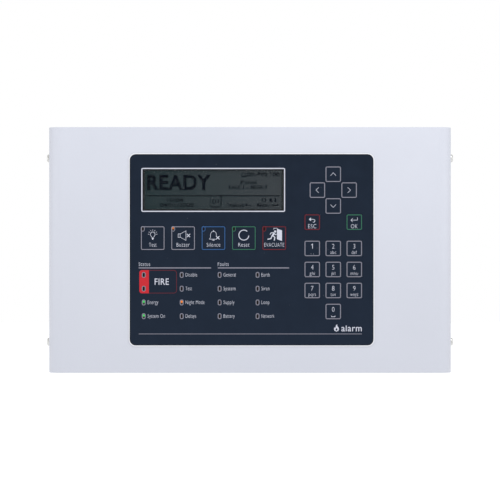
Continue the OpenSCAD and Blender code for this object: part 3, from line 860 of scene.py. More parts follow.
WHITE = ink("white", (0.45, 0.465, 0.54))
GREY = ink("grey", (0.175, 0.175, 0.215))
LINE = ink("line", (0.170, 0.170, 0.210))
BLUE = ink("blue", (0.020, 0.075, 0.200))
GREEN = ink("green", (0.022, 0.108, 0.064))
DARK_RED = ink("dark_red", (0.105, 0.008, 0.014))
RED = ink("red", (0.410, 0.012, 0.020))
BLACK_INK = ink("black", (0.02, 0.02, 0.02))

THIN = -0.014


# ---- Flat shapes and lettering ----


def rounded(width: float, height: float, radius: float, at: tuple[float, float] = (0, 0),
            steps: int = 5) -> Outline:
    """The outline of a rectangle with round corners.

    Args:
        width: Its width.
        height: Its height.
        radius: Radius of its corners.
        at: Its middle.
        steps: Steps round a corner.

    Returns:
        The outline.
    """
    return [(at[0] + sx * (width / 2 - radius) + radius * math.cos(math.radians(a + 90 * i / steps)),
             at[1] + sy * (height / 2 - radius) + radius * math.sin(math.radians(a + 90 * i / steps)))
            for sx, sy, a in ((1, 1, 0), (-1, 1, 90), (-1, -1, 180), (1, -1, 270))
            for i in range(steps + 1)]


def frame_lines(width: float, height: float, radius: float, line: float, at: tuple[float, float] = (0, 0)
                ) -> list[Outline]:
    """Both outlines of a frame, its line's middle on the given rectangle."""
    return [rounded(width + line, height + line, radius + line / 2, at),
            rounded(width - line, height - line, max(0.05, radius - line / 2), at)]


def arc(radius: float, start: float, end: float, at: tuple[float, float] = (0, 0),
        steps: int = 20) -> Outline:
    """Points along an arc, angles in degrees.

    Args:
        radius: Its radius.
        start: Angle of its first point.
        end: Angle of its last.
        at: Its centre.
        steps: Steps along it.

    Returns:
        The points.
    """
    return [(at[0] + radius * math.cos(math.radians(start + (end - start) * i / steps)),
             at[1] + radius * math.sin(math.radians(start + (end - start) * i / steps)))
             for i in range(steps + 1)]


def stroke(points: Outline, width: float) -> Outline:
    """The outline of a line of some width through points, mitred at its corners.

    Args:
        points: The line's points.
        width: Its width.

    Returns:
        The outline.
    """
    sides: list[Outline] = [[], []]
    vectors = [Vector(b) - Vector(a) for a, b in zip(points, points[1:])]
    for i, point in enumerate(points):
        before = vectors[max(i - 1, 0)].normalized()
        after = vectors[min(i, len(vectors) - 1)].normalized()
        normal = Vector((-(before + after).y, (before + after).x)).normalized()
        reach = width / 2 / max(0.4, normal.dot(Vector((-after.y, after.x))))
        for side, sign in zip(sides, (1, -1)):
            side.append(tuple(Vector(point) + sign * reach * normal))
    return sides[0] + sides[1][::-1]


def cross(at: tuple[float, float], reach: float, width: float) -> Outline:
    """The outline of an x.

    Args:
        at: Its middle.
        reach: Length of an arm.
        width: Width of an arm.

    Returns:
        The outline.
    """
    half, turn = width / 2, math.sqrt(0.5)
    arm = [(half, half), (half, reach), (-half, reach), (-half, half), (-reach, half), (-reach, -half),
           (-half, -half), (-half, -reach), (half, -reach), (half, -half), (reach, -half), (reach, half)]
    return [(at[0] + turn * (x - y), at[1] + turn * (x + y)) for x, y in arm]


@dataclass
class Artwork:
    """Printed shapes and lettering on a plane, joined into one piece.

    Attributes:
        name: The piece's name.
        front: The plane that is printed on, in metres along Y.
        middle: Where the artwork's own zero lies, in metres along X and Z.
        thick: Thickness of the ink, in millimetres.
        parts: The shapes printed so far.
        steps: How many shapes lie further and further out, so that no two that overlap share a plane.
        step: How much further out each one lies.
        cap: Height of a capital in lettering of one unit.
        narrow: Width of letters to their height, where no width is given.
        relief: Half the thickness that lettering is made with.
    """

    name: str
    front: float
    middle: tuple[float, float]
    thick: float = 0.03
    parts: list[Object] = field(default_factory=list)
    steps: int = 12
    step: float = 0.001
    cap: float = 0.682
    narrow: float = 0.86
    relief: float = 0.05

    def _stand(self, obj: Object, finish: Finish) -> None:
        """Stands a flat mesh up on the plane and inks it.

        Args:
            obj: The flat mesh.
            finish: The ink.
        """
        out = (self.thick / 2 + self.step * (len(self.parts) % self.steps)) * MM
        place = Matrix.Translation((self.middle[0], self.front - out, self.middle[1]))
        obj.data.transform(place @ Matrix.Rotation(math.pi / 2, 4, "X"))
        obj.data.materials.clear()
        obj.data.materials.append(finish.material())
        self.parts.append(obj)

    def fill(self, finish: Finish, *outlines: Outline) -> None:
        """Fills outlines with one ink; an outline inside another is a hole."""
        self._stand(flat(self.name, outlines, MM, self.thick * MM / 2), finish)

    def write(self, finish: Finish, words: str, cap: float, base: float, left: Optional[float] = None,
              middle: float = 0.0, width: Optional[float] = None, bold: float = THIN) -> None:
        """Writes words.

        Args:
            finish: The ink.
            words: The lettering.
            cap: Height of a capital.
            base: Height of the line that the letters stand on.
            left: Where the words begin, or None to centre them.
            middle: Where their middle is, when left is None.
            width: Their width, or None for the letters' own.
            bold: How much fatter the letters are than the plain ones, in shares of their size.
        """
        obj = lettering(words, bold, self.relief)
        low = min(v.co.x for v in obj.data.vertices)
        span = max(v.co.x for v in obj.data.vertices) - low
        tall = cap * MM / self.cap
        wide = width * MM / span if width else self.narrow * tall
        start = left * MM if left is not None else middle * MM - span * wide / 2
        obj.data.transform(Matrix.Translation((start - low * wide, base * MM, 0))
                           @ Matrix.Diagonal((wide, tall, self.thick * MM / 2 / self.relief, 1)))
        self._stand(obj, finish)

    def finish(self, body: str, slot: str = "print_white") -> Object:
        """Joins the artwork and fixes it to a body.

        Args:
            body: The body.
            slot: The record's slot; not used.

        Returns:
            The joined piece.
        """
        piece = Bench.weld(Bench.join(self.parts, self.name), Bench.FINE_GAP)
        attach(piece, body)
        return piece


def flat(name: str, outlines: Sequence[Outline], scale: float, half: float = 0.0) -> Object:
    """A flat filled shape in the XY plane, as a mesh.

    Args:
        name: The piece's name.
        outlines: Closed outlines; one inside another is a hole.
        scale: Metres to the unit of the outlines.
        half: Half its thickness, in metres.

    Returns:
        The mesh object.
    """
    curve = bpy.data.curves.new(name, "CURVE")
    curve.dimensions, curve.fill_mode, curve.extrude = "2D", "BOTH", half
    for outline in outlines:
        spline = curve.splines.new("POLY")
        spline.points.add(len(outline) - 1)
        spline.use_cyclic_u = True
        for point, (x, y) in zip(spline.points, outline):
            point.co = (x * scale, y * scale, 0, 1)
    obj = bpy.data.objects.new(name, curve)
    bpy.context.collection.objects.link(obj)
    Bench.take(obj)
    bpy.ops.object.convert(target="MESH")
    return bpy.context.object


def lettering(words: str, bold: float, half: float) -> Object:
    """Words as a mesh in the XY plane, one unit tall, with tall small letters set a little apart.

    Args:
        words: The words.
        bold: How much fatter they are.
        half: Half their thickness.

    Returns:
        The mesh object.
    """
    small, tall, raised, apart = 0.449, 0.682, 0.510, 1.07
    Bench.clear()
    bpy.ops.object.text_add()
    obj = bpy.context.object
    obj.data.body, obj.data.resolution_u, obj.data.extrude, obj.data.offset = words, 3, half, bold
    obj.data.space_character = apart
    bpy.ops.object.convert(target="MESH")
    obj = bpy.context.object
    for vertex in obj.data.vertices if any(letter.islower() for letter in words) else ():
        up = vertex.co.y
        if 0 < up < small:
            vertex.co.y = up * raised / small
        elif small <= up < tall:
            vertex.co.y = raised + (up - small) * (tall - raised) / (tall - small)
    return obj


# ---- Case ----


@dataclass
class Shell:
    """A folded sheet steel shell with its long edges eased.

    Attributes:
        node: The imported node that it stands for.
        name: The piece's name.
        body: The body that it rides on.
        ease: Radius of the sheet's edges.
        near: How close to the rim an eased edge lies.
        level: Faces that meet at less than this many degrees are made one.
        sharp: Edges that turn by less than this many degrees are left alone.
        keep: Where an edge stays sharp.
    """

    node: str
    name: str
    body: str
    ease: float = 0.3
    near: float = 0.02
    level: float = 0.4
    sharp: float = 60
    keep: Optional[Callable[[Vector], bool]] = None

    def build(self) -> Object:
        """Copies the shell, eases the edges on its outer rims and paints it.

        Returns:
            The shell.
        """
        low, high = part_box(self.node)
        shell = Bench.cad_copy(self.node, self.name)
        Bench.edit(shell)
        bpy.ops.mesh.select_all(action="SELECT")
        bpy.ops.mesh.dissolve_limited(angle_limit=math.radians(self.level))
        bpy.ops.mesh.select_mode(type="EDGE")

        def on_rim(edge: bmesh.types.BMEdge) -> bool:
            """True for a sharp edge on the shell's top, bottom or back rim.

            Args:
                edge: The edge.

            Returns:
                True when it is to be eased.
            """
            if len(edge.link_faces) != 2 or edge.calc_face_angle(0) < math.radians(self.sharp):
                return False
            if self.keep and self.keep((edge.verts[0].co + edge.verts[1].co) / 2):
                return False
            ends = [v.co for v in edge.verts]
            return any(all(abs(gap) < self.near * MM for gap in gaps) for gaps in (
                [c.z - high.z for c in ends], [c.z - low.z for c in ends], [c.y - high.y for c in ends]))

        count = Bench.pick(shell, Part.EDGE, on_rim)
        if count:
            bpy.ops.mesh.bevel(offset=self.ease * MM, segments=3, affect="EDGES", clamp_overlap=True)
        Bench.leave()
        Bench.smooth(COAT.dress(shell), 30)
        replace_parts(shell, self.node)
        log.info("%s: %d edges eased", self.name, count)
        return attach(shell, self.body)


# ---- Keys ----


class Icon(Enum):
    """The pictures printed on the keys."""

    BULB = "bulb"
    SPEAKER = "speaker"
    BELL = "bell"
    TURN = "turn"
    EXIT = "exit"
    UP = "up"
    DOWN = "down"
    LEFT = "left"
    RIGHT = "right"
    BACK = "back"
    ENTER = "enter"
    NONE = "none"

    def shapes(self) -> list[list[Outline]]:
        """The picture's filled shapes, from the key's middle."""
        return getattr(self, "_" + self.value)()

    @staticmethod
    def _none() -> list[list[Outline]]:
        """No picture."""
        return []

    @staticmethod
    def _bulb() -> list[list[Outline]]:
        """A light bulb with rays.

        Returns:
            Its shapes.
        """
        glass = stroke([(-0.9, 1.0)] + arc(2.25, 225, -45, (0, 3.6)) + [(0.9, 1.0)], 0.42)
        cap = [(-1.1, 0.55), (1.1, 0.55), (0.75, -0.6), (0.3, -1.6), (-0.3, -1.6), (-0.75, -0.6)]
        rays = [[stroke([(r * math.cos(a), 3.7 + r * math.sin(a)) for r in (3.25, 4.5)], 0.34)]
                for a in (math.radians(30 * i) for i in range(7))]
        return [[glass], [cap]] + rays

    @staticmethod
    def _speaker() -> list[list[Outline]]:
        """A loudspeaker, crossed out.

        Returns:
            Its shapes.
        """
        case = [(-4.9, 4.2), (-2.7, 4.2), (2.9, 7.2), (2.9, -2.4), (-2.7, 0.6), (-4.9, 0.6)]
        hollow = [(-4.5, 3.8), (-3.0, 3.8), (-3.0, 1.0), (-4.5, 1.0)]
        horn = [(-2.6, 3.85), (2.5, 6.6), (2.5, -1.8), (-2.6, 0.95)]
        return [[case, hollow, horn], [cross((5.1, 2.5), 2.1, 0.7)]]

    @staticmethod
    def _bell() -> list[list[Outline]]:
        """A bell, crossed out.

        Returns:
            Its shapes.
        """
        outside = [(-3.7, -1.0), (-2.95, 0.6)] + arc(2.75, 180, 0, (0, 3.6), 14) + [(2.75, 1.3)]
        return [[stroke(outside, 0.4)], [stroke([(-3.9, -1.0), (2.2, -1.0)], 0.4)],
                [rounded(1.0, 0.9, 0.4, (0, 7.0))], [stroke([(-0.9, -1.9), (0.9, -1.9)], 0.7)],
                [cross((4.1, 0.4), 2.2, 0.7)]]

    @staticmethod
    def _turn() -> list[list[Outline]]:
        """An open ring."""
        return [[stroke(arc(4.75, 47, 353, (0, 2.9), 36), 0.75)]]

    @staticmethod
    def _exit() -> list[list[Outline]]:
        """Someone running through a doorway.

        Returns:
            Its shapes.
        """
        door = [(2.6, 9.0), (7.4, 7.3), (7.4, -2.7), (2.6, -0.9)]
        frame_line = stroke([(-0.4, 8.0), (-0.4, 9.4), (3.0, 9.4)], 0.4)
        head = arc(1.05, 0, 345, (0.9, 6.3), 12)
        trunk = stroke([(0.0, 5.0), (-1.9, 1.9)], 1.7)
        front_arm = stroke([(-0.1, 4.8), (1.1, 3.3), (2.2, 3.7)], 0.7)
        rear_arm = stroke([(-0.2, 5.3), (-2.9, 5.1), (-3.9, 3.5)], 0.7)
        front_leg = stroke([(-1.5, 2.2), (0.6, 0.9), (0.0, -2.3)], 0.95)
        rear_leg = stroke([(-2.0, 2.2), (-3.2, -0.5), (-6.4, -1.1)], 0.95)
        limbs = (front_arm, rear_arm, front_leg, rear_leg)
        return [[shape] for shape in (door, frame_line, head, trunk) + limbs]

    @staticmethod
    def _chevron(turn: float) -> list[list[Outline]]:
        """An arrowhead of two strokes, turned from pointing up by some degrees.

        Args:
            turn: The angle.

        Returns:
            Its shapes.
        """
        angle = math.radians(turn)
        points = [(-2.6, -1.35), (0.0, 1.35), (2.6, -1.35)]
        return [[stroke([(x * math.cos(angle) - y * math.sin(angle),
                          x * math.sin(angle) + y * math.cos(angle))
                         for x, y in points], 0.36)]]

    @staticmethod
    def _up() -> list[list[Outline]]:
        """Up."""
        return Icon._chevron(0)

    @staticmethod
    def _down() -> list[list[Outline]]:
        """Down."""
        return Icon._chevron(180)

    @staticmethod
    def _left() -> list[list[Outline]]:
        """Left."""
        return Icon._chevron(90)

    @staticmethod
    def _right() -> list[list[Outline]]:
        """Right."""
        return Icon._chevron(-90)

    @staticmethod
    def _back() -> list[list[Outline]]:
        """An arrow that turns back."""
        shaft = [(-1.3, 2.7), (0.9, 2.7)] + arc(1.35, 90, -80, (1.2, 1.3), 10) + [(0.6, -0.1)]
        return [[[(-3.3, 2.7), (-1.2, 4.4), (-1.2, 1.0)]], [stroke(shaft, 0.5)]]

    @staticmethod
    def _enter() -> list[list[Outline]]:
        """An arrow down and to the left."""
        return [[stroke([(3.0, 4.5), (3.0, 1.9), (-2.9, 1.9)], 0.38)],
                [stroke([(-1.5, 3.5), (-3.1, 1.9), (-1.5, 0.3)], 0.38)]]


@dataclass
class KeyFace:
    """What is printed on a key, and its light if it has one.

    Attributes:
        node: The key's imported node, which is also its body.
        outline: Ink of the printed frame.
        icon: The picture.
        label: The word below the picture.
        label_width: Its width.
        number: The number above the letters.
        lit: True when its light is on.
        wide: True for a function key.
        sides: Side of a small and of a function key's frame.
        lines: Width of a small and of a function key's frame line.
        corner: Radius of the frame's corners.
        ring: Width and height of the ring round the light.
        ring_at: Its middle.
        ring_line: Width of its line.
        ring_over: How much thicker than the frame it is printed.
        number_text: Capital height and foot of a number.
        wide_text: The same for the word on a function key.
        small_text: The same for the word on a small key.
        letters_text: The same for the letters under a number.
    """

    node: str
    outline: Finish
    icon: Icon = Icon.NONE
    label: str = ""
    label_width: Optional[float] = None
    number: str = ""
    lit: bool = False
    wide: bool = False
    sides: tuple[float, float] = (13.8, 21.6)
    lines: tuple[float, float] = (0.8, 0.72)
    corner: float = 1.15
    ring: tuple[float, float] = (3.0, 4.5)
    ring_at: tuple[float, float] = (-9.5, 8.85)
    ring_line: float = 0.6
    ring_over: float = 0.004
    number_text: tuple[float, float] = (4.5, -0.2)
    wide_text: tuple[float, float] = (3.7, -8.2)
    small_text: tuple[float, float] = (4.0, -5.9)
    letters_text: tuple[float, float] = (3.1, -5.3)

    def build(self) -> None:
        """Prints the key's frame, picture and lettering."""
        low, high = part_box(self.node)
        art = Artwork("print_" + self.node, low.y, ((low.x + high.x) / 2, (low.z + high.z) / 2))
        side, line = self.sides[self.wide], self.lines[self.wide]
        art.fill(self.outline, *frame_lines(side, side, self.corner, line))
        if self.wide:
            art.thick += self.ring_over
            art.fill(self.outline, *frame_lines(*self.ring, self.ring[0] / 2, self.ring_line, self.ring_at))
        for shape in self.icon.shapes():
            art.fill(WHITE, *shape)
        if self.number:
            self._number(art)
        elif self.label:
            text = self.wide_text if self.wide else self.small_text
            art.write(WHITE, self.label, *text, width=self.label_width)
        art.finish(self.node)

    def _number(self, art: Artwork) -> None:
        """The number, with its letters or the space mark below.

        Args:
            art: The key's print.
        """
        if self.number == "1":
            art.fill(WHITE, stroke([(-1.0, 3.2), (0.3, 4.15), (0.3, -0.2)], 0.55))
        else:
            art.write(WHITE, self.number, *self.number_text)
        if self.label == "_":
            art.fill(WHITE, stroke([(-1.9, -4.1), (-1.4, -5.0), (1.4, -5.0), (1.9, -4.1)], 0.5))
        else:
            art.write(WHITE, self.label, *self.letters_text, width=self.label_width)


@dataclass
class Keypad:
    """Every key's print, and the finish of the keys themselves.

    Attributes:
        faces: What each key shows.
    """

    faces: list[KeyFace] = field(default_factory=lambda: [
        KeyFace("key_lamp_test", GREY, Icon.BULB, "Test", 7.2, wide=True),
        KeyFace("key_buzzer", GREY, Icon.SPEAKER, "Buzzer", 12.4, wide=True, lit=True),
        KeyFace("key_silence", BLUE, Icon.BELL, "Silence", 12.9, wide=True),
        KeyFace("key_reset", GREEN, Icon.TURN, "Reset", 10.6, wide=True),
        KeyFace("key_evacuate", DARK_RED, Icon.EXIT, "EVACUATE", 18.9, wide=True),
        KeyFace("key_up", GREY, Icon.UP),
        KeyFace("key_down", GREY, Icon.DOWN),
        KeyFace("key_left", GREY, Icon.LEFT),
        KeyFace("key_right", GREY, Icon.RIGHT),
        KeyFace("key_escape", DARK_RED, Icon.BACK, "ESC", 7.7),
        KeyFace("key_ok", GREEN, Icon.ENTER, "OK", 6.4),
    ] + [KeyFace(f"key_{number}", GREY, label=letters, label_width=width, number=str(number))
         for number, (letters, width) in enumerate((
             ("_", None), (". ,", 2.8), ("abc", 5.8), ("def", 4.9), ("ghi", 4.8), ("jkl", 3.6),
             ("mno", 7.0), ("pqrs", 7.0), ("tuv", 5.0), ("wxyz", 7.6)))])

    def build(self) -> None:
        """Prints every key."""
        for face in self.faces:
            FILM.dress(frame["nodes"][face.node])
            face.build()
        log.info("keys: %d printed", len(self.faces))


# ---- Lights ----


class Light(Enum):
    """The state of a status light."""

    OFF = (0.0, 0.0, 0.0)
    GREEN = (0.05, 0.62, 0.12)
    ORANGE = (1.0, 0.26, 0.025)

    def slot(self) -> str:
        """The record's slot for a light of this colour."""
        return "lamp_" + self.name.lower()


@dataclass
class LightWindows:
    """The slot-shaped windows in front of the lamps.

    Attributes:
        width: Width of a window.
        height: Height of a window.
        rim: How far the flange behind the sheet reaches past the slot.
        sunk: How far the pane lies behind the overlay's face.
        flange: Thickness of the flange.
        inset: Width of the raised edge round the pane.
        key_depth: How deep a function key's window reaches.
        key_sunk: How far it lies behind the key's face.
        key_glow: Strength of a function key's light.
        glow_up: How far above the middle a lit lamp shows.
        first: Middle of the first window, from the overlay's middle.
        pitch: Distance between columns and between rows.
        lit: The lights that are on, by column and row.
    """

    width: float = 2.1
    height: float = 3.6
    rim: float = 0.7
    sunk: float = 0.12
    flange: float = 0.8
    inset: float = 0.15
    key_depth: float = 2.2
    key_sunk: float = 0.02
    key_glow: float = 0.6
    glow_up: float = 0.85
    first: tuple[float, float] = (-102.6, -23.9)
    pitch: tuple[float, float] = (36.1, 13.1)
    lit: dict[tuple[int, int], Light] = field(default_factory=lambda: {
        (0, 2): Light.GREEN, (0, 3): Light.GREEN, (1, 2): Light.ORANGE})

    def _window(self, name: str, front: float, back: float, at: tuple[float, float],
                flange: bool) -> Object:
        """One window: a slot-shaped body with a sunk pane, and its flange behind the sheet.

        Args:
            name: The piece's name.
            front: Where its front is, in metres along Y.
            back: Where its back is.
            at: Its middle, in metres along X and Z.
            flange: True for a window that has a flange.

        Returns:
            The piece.
        """
        half = Vector((self.width / 2, 0, self.height / 2)) * MM
        middle = Vector((at[0], 0, at[1]))
        Bench.clear()
        low, high = middle - half + Vector((0, front, 0)), middle + half + Vector((0, back, 0))
        bpy.ops.mesh.primitive_cube_add(size=1, location=(low + high) / 2, scale=high - low)
        obj = Bench.settle(bpy.context.object)
        obj.name = obj.data.name = name
        Bench.edit(obj, Part.EDGE)
        Bench.pick(obj, Part.EDGE, lambda e: abs((e.verts[0].co - e.verts[1].co).y) > 0.1 * MM)
        bpy.ops.mesh.bevel(offset=self.width / 2 * MM * 0.999, segments=7, affect="EDGES")
        bpy.ops.mesh.select_mode(type="FACE")
        Bench.pick(obj, Part.FACE, lambda f: f.normal.y < -0.9)
        bpy.ops.mesh.inset(thickness=self.inset * MM)
        bpy.ops.mesh.extrude_region_move(TRANSFORM_OT_translate={"value": (0, self.sunk * MM, 0)})
        if flange:
            Bench.pick(obj, Part.FACE, lambda f: f.normal.y > 0.9)
            bpy.ops.mesh.inset(thickness=self.rim * MM, use_outset=True)
            bpy.ops.mesh.extrude_region_move(TRANSFORM_OT_translate={"value": (0, self.flange * MM, 0)})
        Bench.leave()
        return Bench.smooth(obj, 40)

    def place(self, column: int, row: int) -> tuple[float, float]:
        """The middle of a light, from the overlay's middle."""
        return (self.first[0] + column * self.pitch[0], self.first[1] - row * self.pitch[1])

    def build(self, keypad: Keypad) -> None:
        """Fits the windows in the overlay and the function keys, lit where the lamps are on.

        Args:
            keypad: The keys, some of which have a light.
        """
        low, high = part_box("front_overlay")
        middle = (low + high) / 2
        sheet_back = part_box("lcd_window")[0].y
        guide = self._window("light_window", low.y, sheet_back, (middle.x, middle.z), flange=True)
        dark: list[Object] = []
        for column in range(4):
            for row in range(4):
                across, up = self.place(column, row)
                shift = Vector((across, 0, up)) * MM
                state = self.lit.get((column, row), Light.OFF)
                piece = Bench.copy(guide, f"light_window_{column}_{row}", shift)
                if state is Light.OFF:
                    dark.append(DARK_SLOT.dress(piece))
                else:
                    self._light(piece, state, middle + shift, "cover")
        bpy.data.objects.remove(guide)
        windows = Bench.join(dark, "light_windows")
        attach(windows, "cover")
        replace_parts(windows, "light_guides")
        for face in (f for f in keypad.faces if f.wide):
            self._key_light(face)
        log.info("lights: %d lit", len(self.lit) + 1)

    def _key_light(self, face: KeyFace) -> None:
        """Fits the window in a function key's corner.

        Args:
            face: The key.
        """
        low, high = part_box(face.node)
        at = Vector(((low.x + high.x) / 2 + face.ring_at[0] * MM, low.y,
                     (low.z + high.z) / 2 + face.ring_at[1] * MM))
        piece = self._window("light_" + face.node, low.y + self.key_sunk * MM, low.y + self.key_depth * MM,
                             (at.x, at.z), flange=False)
        if face.lit:
            self._light(piece, Light.ORANGE, at, face.node, self.key_glow)
        else:
            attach(DARK_SLOT.dress(piece), face.node)

    def _light(self, piece: Object, state: Light, middle: Vector, body: str, strength: float = 1.0) -> None:
        """Lights a window from behind.

        Args:
            piece: The window.
            state: The light's colour.
            middle: The window's middle.
            body: The body that it rides on.
            strength: Strength of the light.
        """
        centre = (middle.x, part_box("front_overlay")[0].y, middle.z + self.glow_up * MM)
        Glow("glow_" + piece.name, state.slot(), state.value, centre=centre, strength=strength, depth=0.003,
             gloss=0.06).dress(piece)
        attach(piece, body)


# ---- Overlay ----


@dataclass
class Overlay:
    """The printed film on the cover: headings, lines, labels, the alarm box, a painted shade line along the
    film's edge and the film's clear edge.

    Attributes:
        headings: Word, left end, length of its line and width of the word.
        heading_text: Capital height and foot of a heading.
        heading_line: Height and width of the line below it.
        labels: Column, row, word and width for each light.
        label_text: Capital height of a label, and its foot below the light's middle.
        label_gap: From a light's middle to its label.
        window: Middle, width and height of the display's frame.
        window_line: Radius of its corners and width of its line.
        ring: Width, height, corner and line of the ring round a light.
        alarm: Left, right, low and high side of the alarm box.
        alarm_text: Capital height, foot below the middle, left end and width of its word.
        band: Width of its solid band.
        turn: Radius of its corners.
        box_line: Width of its outline.
        hole: Width, height and corner of the gap that the band leaves round a light.
        lower_line: Left end, right end and height of the line at the foot.
        lower_width: Width of that line.
        sign: Left end and foot of the sign.
        sign_text: Capital height, left end and width of its word.
        border: How far in, what corner and how wide the painted shade line along the film's edge is, a thin ring
            of black ink.
        clear: How far the clear edge reaches out from and under the film.
        clear_corner: Its outer and inner radius.
        clear_sunk: How far behind the film's face it lies.
        clear_thick: Its thickness.
        weight: How much fatter bold words are.
    """

    headings: tuple = (("Status", -107.4, 68.9, 10.8), ("Faults", -32.1, 67.8, 10.4))
    labels: tuple = (
        (0, 2, "Energy", 10.2), (0, 3, "System On", 16.4),
        (1, 0, "Disable", 11.0), (1, 1, "Test", 5.9), (1, 2, "Night Mode", 18.0), (1, 3, "Delays", 10.0),
        (2, 0, "General", 11.6), (2, 1, "System", 11.4), (2, 2, "Supply", 10.4), (2, 3, "Battery", 10.6),
        (3, 0, "Earth", 7.8), (3, 1, "Siren", 7.5), (3, 2, "Loop", 7.5), (3, 3, "Network", 12.2))
    heading_text: tuple[float, float] = (3.4, -15.4)
    heading_line: tuple[float, float] = (-17.25, 1.05)
    label_text: tuple[float, float] = (3.45, 1.6)
    label_gap: float = 3.7
    window: tuple[float, float, float, float] = (-36.5, 57.0, 135.8, 40.8)
    window_line: tuple[float, float] = (1.1, 1.0)
    ring: tuple[float, float, float, float] = (2.8, 4.7, 1.1, 0.76)
    alarm: tuple[float, float, float, float] = (-106.8, -71.4, -41.4, -19.3)
    alarm_text: tuple[float, float, float, float] = (5.9, 2.9, -92.2, 13.5)
    band: float = 9.1
    turn: float = 2.6
    box_line: float = 0.45
    hole: tuple[float, float, float] = (3.84, 5.34, 1.9)
    lower_line: tuple[float, float, float] = (-107.4, 105.0, -80.05)
    lower_width: float = 0.6
    sign: tuple[float, float] = (78.4, -77.4)
    sign_text: tuple[float, float, float] = (5.4, 7.0, 19.4)
    border: tuple[float, float, float] = (0.55, 5.4, 0.5)
    clear: tuple[float, float] = (1.9, 0.1)
    clear_corner: tuple[float, float] = (6.65, 5.75)
    clear_sunk: float = 0.15
    clear_thick: float = 0.25
    weight: float = 0.006

    def build(self, lights: LightWindows) -> None:
        """Prints the overlay and lays its clear edge round it.

        Args:
            lights: The windows that the print surrounds.
        """
        low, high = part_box("front_overlay")
        middle = ((low.x + high.x) / 2, (low.z + high.z) / 2)
        FILM.dress(frame["nodes"]["front_overlay"])
        art = Artwork("print_overlay", low.y, middle)
        art.fill(WHITE, *frame_lines(*self.window[2:], *self.window_line, self.window[:2]))
        self._words(art, lights)
        for column in range(4):
            for row in range(4):
                art.fill(GREY if column or row > 1 else LINE,
                         *frame_lines(*self.ring, lights.place(column, row)))
        self._alarm_box(art, lights)
        left, right, up = self.lower_line
        art.fill(LINE, stroke([(left, up), (right, up)], self.lower_width))
        self._sign(art)
        wide, tall = (high.x - low.x) / MM, (high.z - low.z) / MM
        # Painted shade: a thin ring of black ink just inside the film's edge.
        inset, corner, line = self.border
        art.fill(BLACK_INK, *frame_lines(wide - inset, tall - inset, corner, line))
        art.finish("cover")
        edge = Artwork("overlay_edge", low.y + self.clear_sunk * MM, middle, thick=self.clear_thick)
        edge.fill(FILM_EDGE, *(rounded(wide + reach, tall + reach, corner)
                               for reach, corner in zip(self.clear, self.clear_corner)))
        edge.finish("cover")
        log.info("overlay: %d labels", len(self.labels))

    def _words(self, art: Artwork, lights: LightWindows) -> None:
        """The headings with their lines, and the lights' labels.

        Args:
            art: The print.
            lights: The windows.
        """
        cap, foot = self.heading_text
        up, line = self.heading_line
        for word, left, length, width in self.headings:
            art.write(WHITE, word, cap, foot, left=left, width=width)
            art.fill(LINE, stroke([(left, up), (left + length, up)], line))
        cap, drop = self.label_text
        for column, row, word, width in self.labels:
            across, up = lights.place(column, row)
            art.write(WHITE, word, cap, up - drop, left=across + self.label_gap, width=width)

    def _alarm_box(self, art: Artwork, lights: LightWindows) -> None:
        """The red box with its solid band.

        Args:
            art: The print.
            lights: The windows.
        """
        left, right, low, high = self.alarm
        edge, turn, half = left + self.band, self.turn, self.box_line / 2
        upper = arc(turn, 90, 180, (left + turn, high - turn), 6)
        lower = arc(turn, 180, 270, (left + turn, low + turn), 6)
        holes = [rounded(*self.hole, lights.place(0, row)) for row in (0, 1)]
        art.fill(RED, [(edge, high)] + upper + lower + [(edge, low)], *holes)
        start = edge + 0.02
        path = ([(start, high - half)] + arc(turn, 90, 0, (right - turn, high - turn - half), 6)
                + arc(turn, 0, -90, (right - turn, low + turn + half), 6) + [(start, low + half)])
        art.fill(DARK_RED, stroke(path, self.box_line))
        cap, drop, start, width = self.alarm_text
        art.write(WHITE, "FIRE", cap, (low + high) / 2 - drop, left=start, width=width, bold=self.weight)

    def _sign(self, art: Artwork) -> None:
        """A flame and a plain word at the foot.

        Args:
            art: The print.
        """
        x, z = self.sign
        flame = [(0, 0), (-2.0, 0.9), (-2.5, 2.6), (-1.6, 4.3), (-0.9, 3.5), (-0.6, 5.6), (0.5, 7.0),
                 (0.8, 5.2), (1.9, 3.9), (2.4, 2.2), (1.8, 0.8)]
        core = [(0, 0.8), (-0.9, 1.5), (-0.6, 2.6), (0.1, 3.6), (0.8, 2.5), (0.9, 1.4)]
        art.fill(WHITE, *([(x + 2.4 + a, z - 0.4 + b) for a, b in outline] for outline in (flame, core)))
        cap, across, width = self.sign_text
        art.write(WHITE, "alarm", cap, z - 0.1, left=x + across, width=width, bold=self.weight)


# ---- Display ----


